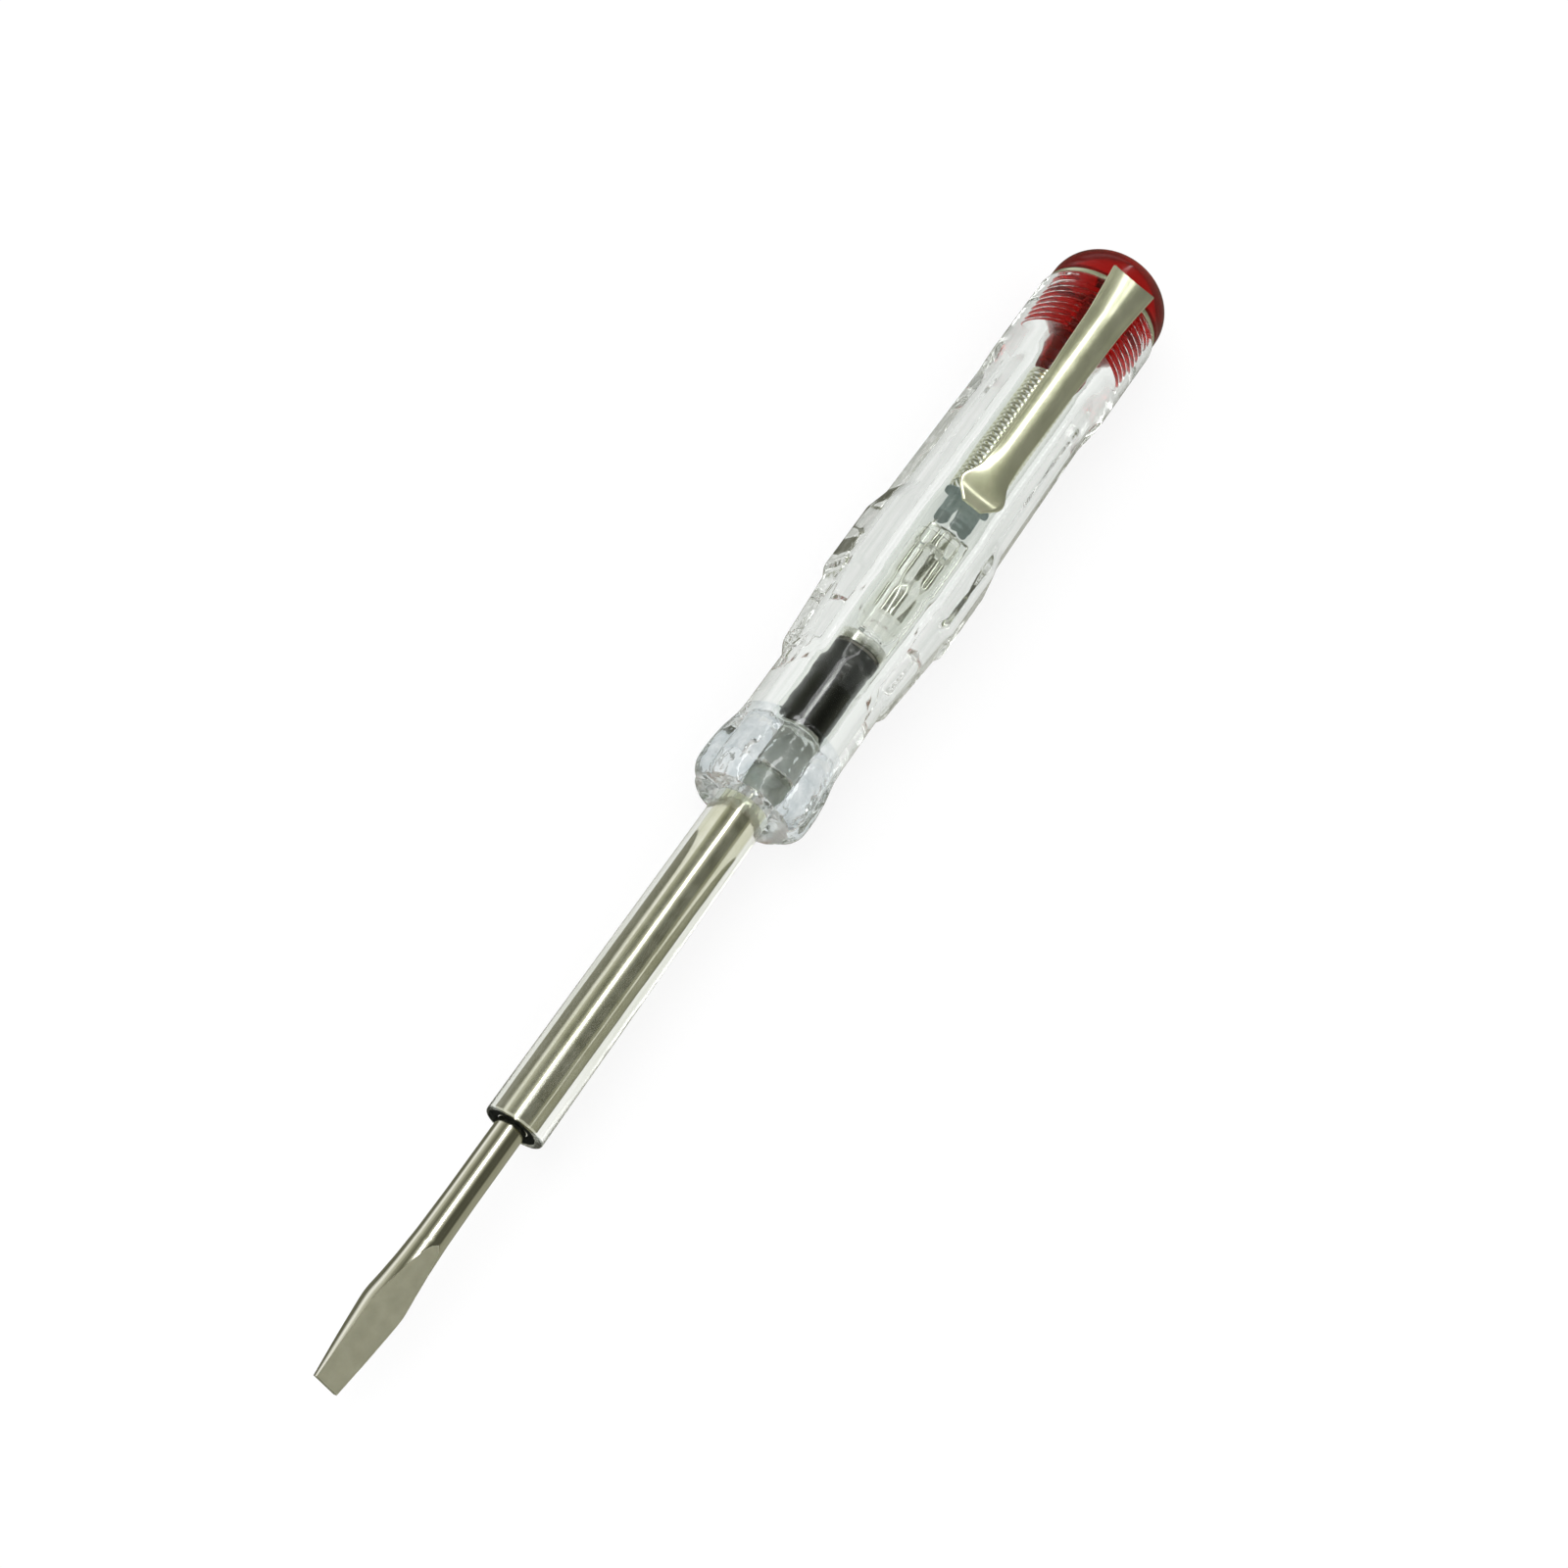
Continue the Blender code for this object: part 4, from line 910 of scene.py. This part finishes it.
# %% Contact strip: one foot under the spring, one behind the clip's washer
strip_at, strip_end, _ = span("contact_strip")
strip_low, strip_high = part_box("contact_strip")
STRIP_WALL = 0.0003
foot_down = AXIS_Z - strip_low.z
inner_side = NOSE_RADIUS - STRIP_WALL
inner_end = STRIP_WALL - NOSE_RADIUS
outline = [
    (strip_at, NOSE_RADIUS), (strip_end - STRIP_WALL, NOSE_RADIUS), (strip_end - STRIP_WALL, foot_down),
    (strip_end, foot_down), (strip_end, inner_side), (strip_at + STRIP_WALL, inner_side),
    (strip_at + STRIP_WALL, inner_end), (strip_at, inner_end),
]
sides = (strip_low.y, strip_high.y)
rings = [[Vector((TIP_X + along, side, AXIS_Z - down)) for along, down in outline] for side in sides]
strip = skin("contact_strip_bent", rings)
dress(strip, "cap_body", brass, "brass", "contact_strip")

# %% [markdown]
# ## The pocket clip
# The clip is one stamping of sprung steel: a washer that the cap clamps, and an arm like a shallow
# gutter that widens at its rear end and opens into a spoon that rides over a pocket's edge. A flat plate
# with a bevel would look bent from card, so the arm is drawn along its length from a few stations, and
# its edges are rolled over as a press leaves them.

# %% Clip: washer and its tab
ring_at, ring_end, _ = span("clip_ring")
RING_HOLE = 0.0043
RING_RADIUS = 0.0065
RING_EASE = 0.0001
RING_AROUND = 96
TAB_HALF_WIDTH = 0.0020
TAB_EASE = 0.00012
outline = [(ring_at, RING_HOLE), (ring_at, RING_RADIUS), (ring_end, RING_RADIUS), (ring_end, RING_HOLE)]
washer = turned("clip_washer", rounded(outline, RING_EASE, closed=True), RING_AROUND, ends="loop")
dress(washer, "washer_body", clip_nickel, "nickel_plate", "clip_ring")
tab_heights = (AXIS_Z + (RING_HOLE + RING_RADIUS) / 2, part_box("clip_ring")[1].z)
outline = [(ring_at, -TAB_HALF_WIDTH), (ring_at, TAB_HALF_WIDTH)]
outline += [(ring_end, TAB_HALF_WIDTH), (ring_end, -TAB_HALF_WIDTH)]
outline = rounded(outline, TAB_EASE, closed=True)
rings = [[Vector((TIP_X + along, across, up)) for along, across in outline] for up in tab_heights]
tab = skin("clip_tab", rings)
dress(tab, "washer_body", clip_nickel, "nickel_plate")

# %% Clip: the arm's stations, as distance, half width, height of its underside and crown
arm_at, arm_end, _ = span("clip_arm")
ARM_THICKNESS = 0.0004
ARM_STATIONS = (
    (0.0, 0.0010, 0.00745, 0.0),
    (0.0004, 0.0015, 0.00738, 0.0),
    (0.0012, 0.0023, 0.00724, 0.0),
    (0.0020, 0.0028, 0.00720, 0.00005),
    (0.0026, 0.0026, 0.00724, 0.0001),
    (0.0040, 0.0018, 0.00745, 0.0002),
    (0.0070, 0.0016, 0.00790, 0.0003),
    (0.0170, 0.00178, 0.00790, 0.0004),
    (0.0210, 0.00195, 0.00790, 0.0005),
    (0.0262, 0.0021, 0.00790, 0.0006),
    (0.0292, 0.00235, 0.00790, 0.0006),
    (0.0322, 0.00265, 0.00790, 0.0006),
)
ARM_EASE = 0.0005
ARM_STEP = 0.0003
HOLLOW_FROM = 0.0302
HOLLOW_RUN = 0.0020
END_HOLLOW = 0.0005
ARCH_STEPS = 8
EDGE_STEPS = 6


def arm_ring(distance):
    """One cross-section of the arm: an arched strip with round edges, hollowed at its rear end."""
    half_width, underside, crown = eased(ARM_STATIONS, distance, ARM_EASE)
    middle = underside + ARM_THICKNESS / 2
    hollow_share = max(0.0, (distance - HOLLOW_FROM) / HOLLOW_RUN)
    points = []
    half = ARM_THICKNESS / 2
    for side in (1, -1):
        for step in range(-ARCH_STEPS, ARCH_STEPS + 1):
            across = side * step / ARCH_STEPS
            level = middle + crown * (1 - across**2) + side * half
            points.append((across * (half_width - half), level, across))
        for step in range(1, EDGE_STEPS):
            swing = math.pi * step / EDGE_STEPS
            level = middle + side * half * math.cos(swing)
            points.append((side * (half_width - half + half * math.sin(swing)), level, side))
    ring = []
    for across, level, share in points:
        back = END_HOLLOW * hollow_share * (1 - share**2)
        ring.append(Vector((TIP_X + arm_at + distance - back, across, AXIS_Z + level)))
    return ring


arm = skin("clip_arm_pressed", [arm_ring(distance) for distance in spread(0.0, arm_end - arm_at, ARM_STEP)])
dress(arm, "clip_body", clip_nickel, "nickel_plate", "clip_arm")

# %% [markdown]
# ## The floor
# The tool lies on a plain white floor that keeps its soft shadow. White paint renders a little grey, so
# most of what camera and glass see of it is white light of strength 1, and the rest is paint with the
# shadow on it. The sleeved rod would mirror a white floor as pale bands along its sides. So rays that
# were mirrored pass through the floor at the front and meet the studio's dark gaps.

# %% Floor
FLOOR_HALF = 1.5
FLOOR_DROP = 0.00005
LIT_SHARE = 0.82
FRONT_END = 0.064
corners = [(-FLOOR_HALF, -FLOOR_HALF), (FLOOR_HALF, -FLOOR_HALF)]
corners += [(FLOOR_HALF, FLOOR_HALF), (-FLOOR_HALF, FLOOR_HALF)]
floor_mesh = bpy.data.meshes.new("floor")
floor_mesh.from_pydata([(x, y, cad_low.z - FLOOR_DROP) for x, y in corners], [], [(0, 1, 2, 3)])
floor = bpy.data.objects.new("floor", floor_mesh)
bpy.context.scene.collection.objects.link(floor)
floor_paint, shader = new_material("floor_paint", (0.90, 0.90, 0.90), 0.9)
shader.inputs["Specular IOR Level"].default_value = 0.0
tree = floor_paint.node_tree
ray = tree.nodes.new("ShaderNodeLightPath").outputs
seen = math_node(tree, "MAXIMUM", ray["Is Camera Ray"], ray["Is Transmission Ray"])
seen = math_node(tree, "MAXIMUM", seen, ray["Is Glossy Ray"])
split = tree.nodes.new("ShaderNodeSeparateXYZ")
tree.links.new(own_place(tree), split.inputs[0])
at_front = math_node(tree, "LESS_THAN", split.outputs["X"], TIP_X + FRONT_END)
mirrored = math_node(tree, "MINIMUM", ray["Glossy Depth"], 1.0)
lit = tree.nodes.new("ShaderNodeEmission").outputs["Emission"]
unseen = tree.nodes.new("ShaderNodeBsdfTransparent").outputs["BSDF"]
painted = shader.outputs["BSDF"]
for share, other in (
    (math_node(tree, "MULTIPLY", seen, LIT_SHARE), lit),
    (math_node(tree, "MULTIPLY", at_front, mirrored), unseen),
):
    mix = tree.nodes.new("ShaderNodeMixShader")
    for socket, value in zip(mix.inputs, (share, painted, other)):
        tree.links.new(value, socket)
    painted = mix.outputs["Shader"]
tree.links.new(painted, tree.nodes["Material Output"].inputs["Surface"])
floor_mesh.materials.append(floor_paint)
floor.visible_glossy = False
floor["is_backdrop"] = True
print("floor lies", round(FLOOR_DROP * 1000, 2), "mm under the tool")

# %% [markdown]
# ## The studio
# Plated metal and clear plastic have hardly a colour of their own: they show the room. So the room
# matters more here than the lamp. It is a white studio with a long bright strip over the tool and dark
# gaps beside it. An image of a room could do this, but strips set by their angle round the tool can be
# tuned one by one. The slope says how far a direction leans towards the tool's rear.

# %% World: angle and slope of a direction
world = bpy.data.worlds.new("studio")
bpy.context.scene.world = world
world.use_nodes = True
tree = world.node_tree
tree.nodes.clear()
direction = tree.nodes.new("ShaderNodeTexCoord")
split = tree.nodes.new("ShaderNodeSeparateXYZ")
tree.links.new(direction.outputs["Generated"], split.inputs[0])
sideways = math_node(tree, "MULTIPLY", split.outputs["Y"], -1.0)
turn = math_node(tree, "ARCTAN2", sideways, split.outputs["Z"])
square = math_node(tree, "MULTIPLY", sideways, sideways)
square = math_node(tree, "MULTIPLY_ADD", split.outputs["Z"], split.outputs["Z"], square)
slope = math_node(tree, "DIVIDE", split.outputs["X"], math_node(tree, "SQRT", square))

# %% World: the strips. Past the grip they bend aside by some degrees, and over the spoon they don't
BEND = math.radians(22.0)
BEND_SLOPES = (0.655, 0.745)
STRAIGHT_SLOPES = (0.80, 0.88)
WARM_BLUE = 0.70
STRIPS = (
    (-180.0, 0.20), (-124.0, 0.14), (-101.0, 1.0), (-81.0, 0.53), (-64.0, 0.25), (-48.0, 0.14), (-40.0, 0.22),
    (-32.0, 0.51), (-27.0, 0.90), (-23.0, 1.2), (-21.0, 8.0), (-12.0, 8.0), (-10.0, 1.0), (-2.0, 0.68),
    (5.0, 0.35), (12.0, 0.15), (20.0, 0.08), (44.0, 0.08), (60.0, 0.19), (79.0, 0.31), (115.0, 0.34),
    (150.0, 0.30), (180.0, 0.20),
)
lean = map_range(tree, slope, *BEND_SLOPES, 0.0, BEND, "SMOOTHSTEP")
upright = map_range(tree, slope, *STRAIGHT_SLOPES, 1.0, 0.0, "SMOOTHSTEP")
turn = math_node(tree, "SUBTRACT", turn, math_node(tree, "MULTIPLY", lean, upright))
strips = tree.nodes.new("ShaderNodeValToRGB")
strips.color_ramp.interpolation = "EASE"
tree.links.new(math_node(tree, "MULTIPLY_ADD", turn, 1.0 / math.tau, 0.5), strips.inputs["Fac"])
for index, (degrees, level) in enumerate(STRIPS):
    place_share = degrees / 360.0 + 0.5
    stop = strips.color_ramp.elements[index] if index < 2 else strips.color_ramp.elements.new(place_share)
    stop.position = place_share
    stop.color = (level, level, level * min(WARM_BLUE + (1.0 - WARM_BLUE) * level, 1.0), 1.0)
strip_colors = strips.outputs["Color"]
print("world has", len(STRIPS), "stops round the tool")

# %% [markdown]
# ### What each kind of ray sees
# The camera sees plain white, and diffuse surfaces get an even room light. Bare metal mirrors the
# strips, which fade towards the rear. Light through the clear plastics sees white with a share of the
# strips. Where it was mirrored too, that share is nearly all at the rod, little in the bulb and more in
# the grip.

# %% World: shares
ROOM_LIGHT = 0.95
REAR_LIGHT = 0.48
FADE_SLOPES = (0.635, 0.70)
THROUGH_SHARE = 0.22
ROD_SHARE = 0.97
BULB_SHARE = 0.10
GRIP_SHARE = 0.42
BULB_SLOPES = (0.43, 0.45)
GRIP_SLOPES = (0.49, 0.52)
WHITE = grey(1.0)
ray = tree.nodes.new("ShaderNodeLightPath").outputs
dimmed = tree.nodes.new("ShaderNodeVectorMath")
dimmed.operation = "SCALE"
feed_all(tree, dimmed, Vector=strip_colors, Scale=map_range(tree, slope, *FADE_SLOPES, 1.0, REAR_LIGHT))
plain_rays = mix_colors(tree, ray["Is Glossy Ray"], grey(ROOM_LIGHT), dimmed.outputs["Vector"])
rod_to_bulb = map_range(tree, slope, *BULB_SLOPES, ROD_SHARE, BULB_SHARE)
bulb_to_grip = map_range(tree, slope, *GRIP_SLOPES, 0.0, GRIP_SHARE - BULB_SHARE)
more = math_node(tree, "SUBTRACT", math_node(tree, "ADD", rod_to_bulb, bulb_to_grip), THROUGH_SHARE)
mirrored = math_node(tree, "MINIMUM", ray["Glossy Depth"], 1.0)
strip_share = math_node(tree, "MULTIPLY_ADD", mirrored, more, THROUGH_SHARE)
seen_through = mix_colors(tree, strip_share, WHITE, strip_colors)
all_rays = mix_colors(tree, ray["Is Transmission Ray"], plain_rays, seen_through)
backdrop = mix_colors(tree, ray["Is Camera Ray"], all_rays, WHITE)
background = tree.nodes.new("ShaderNodeBackground")
tree.links.new(backdrop, background.inputs["Color"])
output = tree.nodes.new("ShaderNodeOutputWorld")
tree.links.new(background.outputs["Background"], output.inputs["Surface"])
print("world has", len(tree.nodes), "nodes")

# %% [markdown]
# ## Lamp and camera
# One large soft lamp from the side gives the floor its shadow. Metal and glass don't see it, because
# their look comes from the strips. The camera looks down on the tool from beyond its front end and is
# turned about its own axis until the tool runs from the lower left to the upper right.

# %% Key light
KEY_SIZE = 0.35
KEY_POWER = 1.5
KEY_AT = Vector((-0.10, 0.28, 0.45))
key_data = bpy.data.lights.new("key", "AREA")
key_data.size = KEY_SIZE
key_data.energy = KEY_POWER
key = bpy.data.objects.new("key", key_data)
bpy.context.scene.collection.objects.link(key)
key.location = KEY_AT
key.rotation_euler = (Vector((0.0, 0.0, AXIS_Z)) - KEY_AT).to_track_quat("-Z", "Y").to_euler()
key.visible_glossy = False
key.visible_transmission = False
print("key light of", KEY_POWER, "W")

# %% Camera
CAMERA_X = -0.1235
CAMERA_BACK = 0.2650
CAMERA_TILT = math.radians(6.5)
CAMERA_ASIDE = 0.00186
IMAGE_TURN = math.radians(54.31)
SENSOR_WIDTH = 36.0
LENS = 70.9
NEAREST = 0.01
facing = Vector((0.0, math.sin(CAMERA_TILT), math.cos(CAMERA_TILT)))
aside = Vector((0.0, -math.cos(CAMERA_TILT), math.sin(CAMERA_TILT)))
camera_at = Vector((CAMERA_X, 0.0, AXIS_Z)) + facing * CAMERA_BACK
aim = Vector((0.0, 0.0, AXIS_Z)) + aside * CAMERA_ASIDE
camera_data = bpy.data.cameras.new("camera")
camera_data.sensor_width = SENSOR_WIDTH
camera_data.lens = LENS
camera_data.clip_start = NEAREST
camera = bpy.data.objects.new("camera", camera_data)
bpy.context.scene.collection.objects.link(camera)
forward = (aim - camera_at).normalized()
along_tool = (Vector((1.0, 0.0, 0.0)) - forward * forward.x).normalized()
across_tool = forward.cross(along_tool).normalized()
if across_tool.y > 0:
    across_tool.negate()
right = along_tool * math.cos(IMAGE_TURN) + across_tool * math.sin(IMAGE_TURN)
up = along_tool * math.sin(IMAGE_TURN) - across_tool * math.cos(IMAGE_TURN)
camera.matrix_world = Matrix.Translation(camera_at) @ Matrix((right, up, -forward)).transposed().to_4x4()
bpy.context.scene.camera = camera
print("camera", [round(value * 1000, 1) for value in camera_at], "mm")

# %% [markdown]
# ## Colour, light paths and size
# Standard colour shows each tone as it is written. Light that crosses the handle and the lamp's glass
# meets many surfaces, so its paths may be long. The size of the dressed model is printed, because the
# looks mustn't change the size.

# %% Colour management, light paths and size
LIGHT_BOUNCES = 24
bpy.context.scene.view_settings.view_transform = "Standard"
bpy.context.scene.cycles.max_bounces = LIGHT_BOUNCES
bpy.context.scene.cycles.transmission_bounces = LIGHT_BOUNCES
bpy.context.scene.cycles.glossy_bounces = LIGHT_BOUNCES
low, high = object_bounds()
print("visual box", [round(value * 1000, 2) for value in (*low, *high)], "mm")
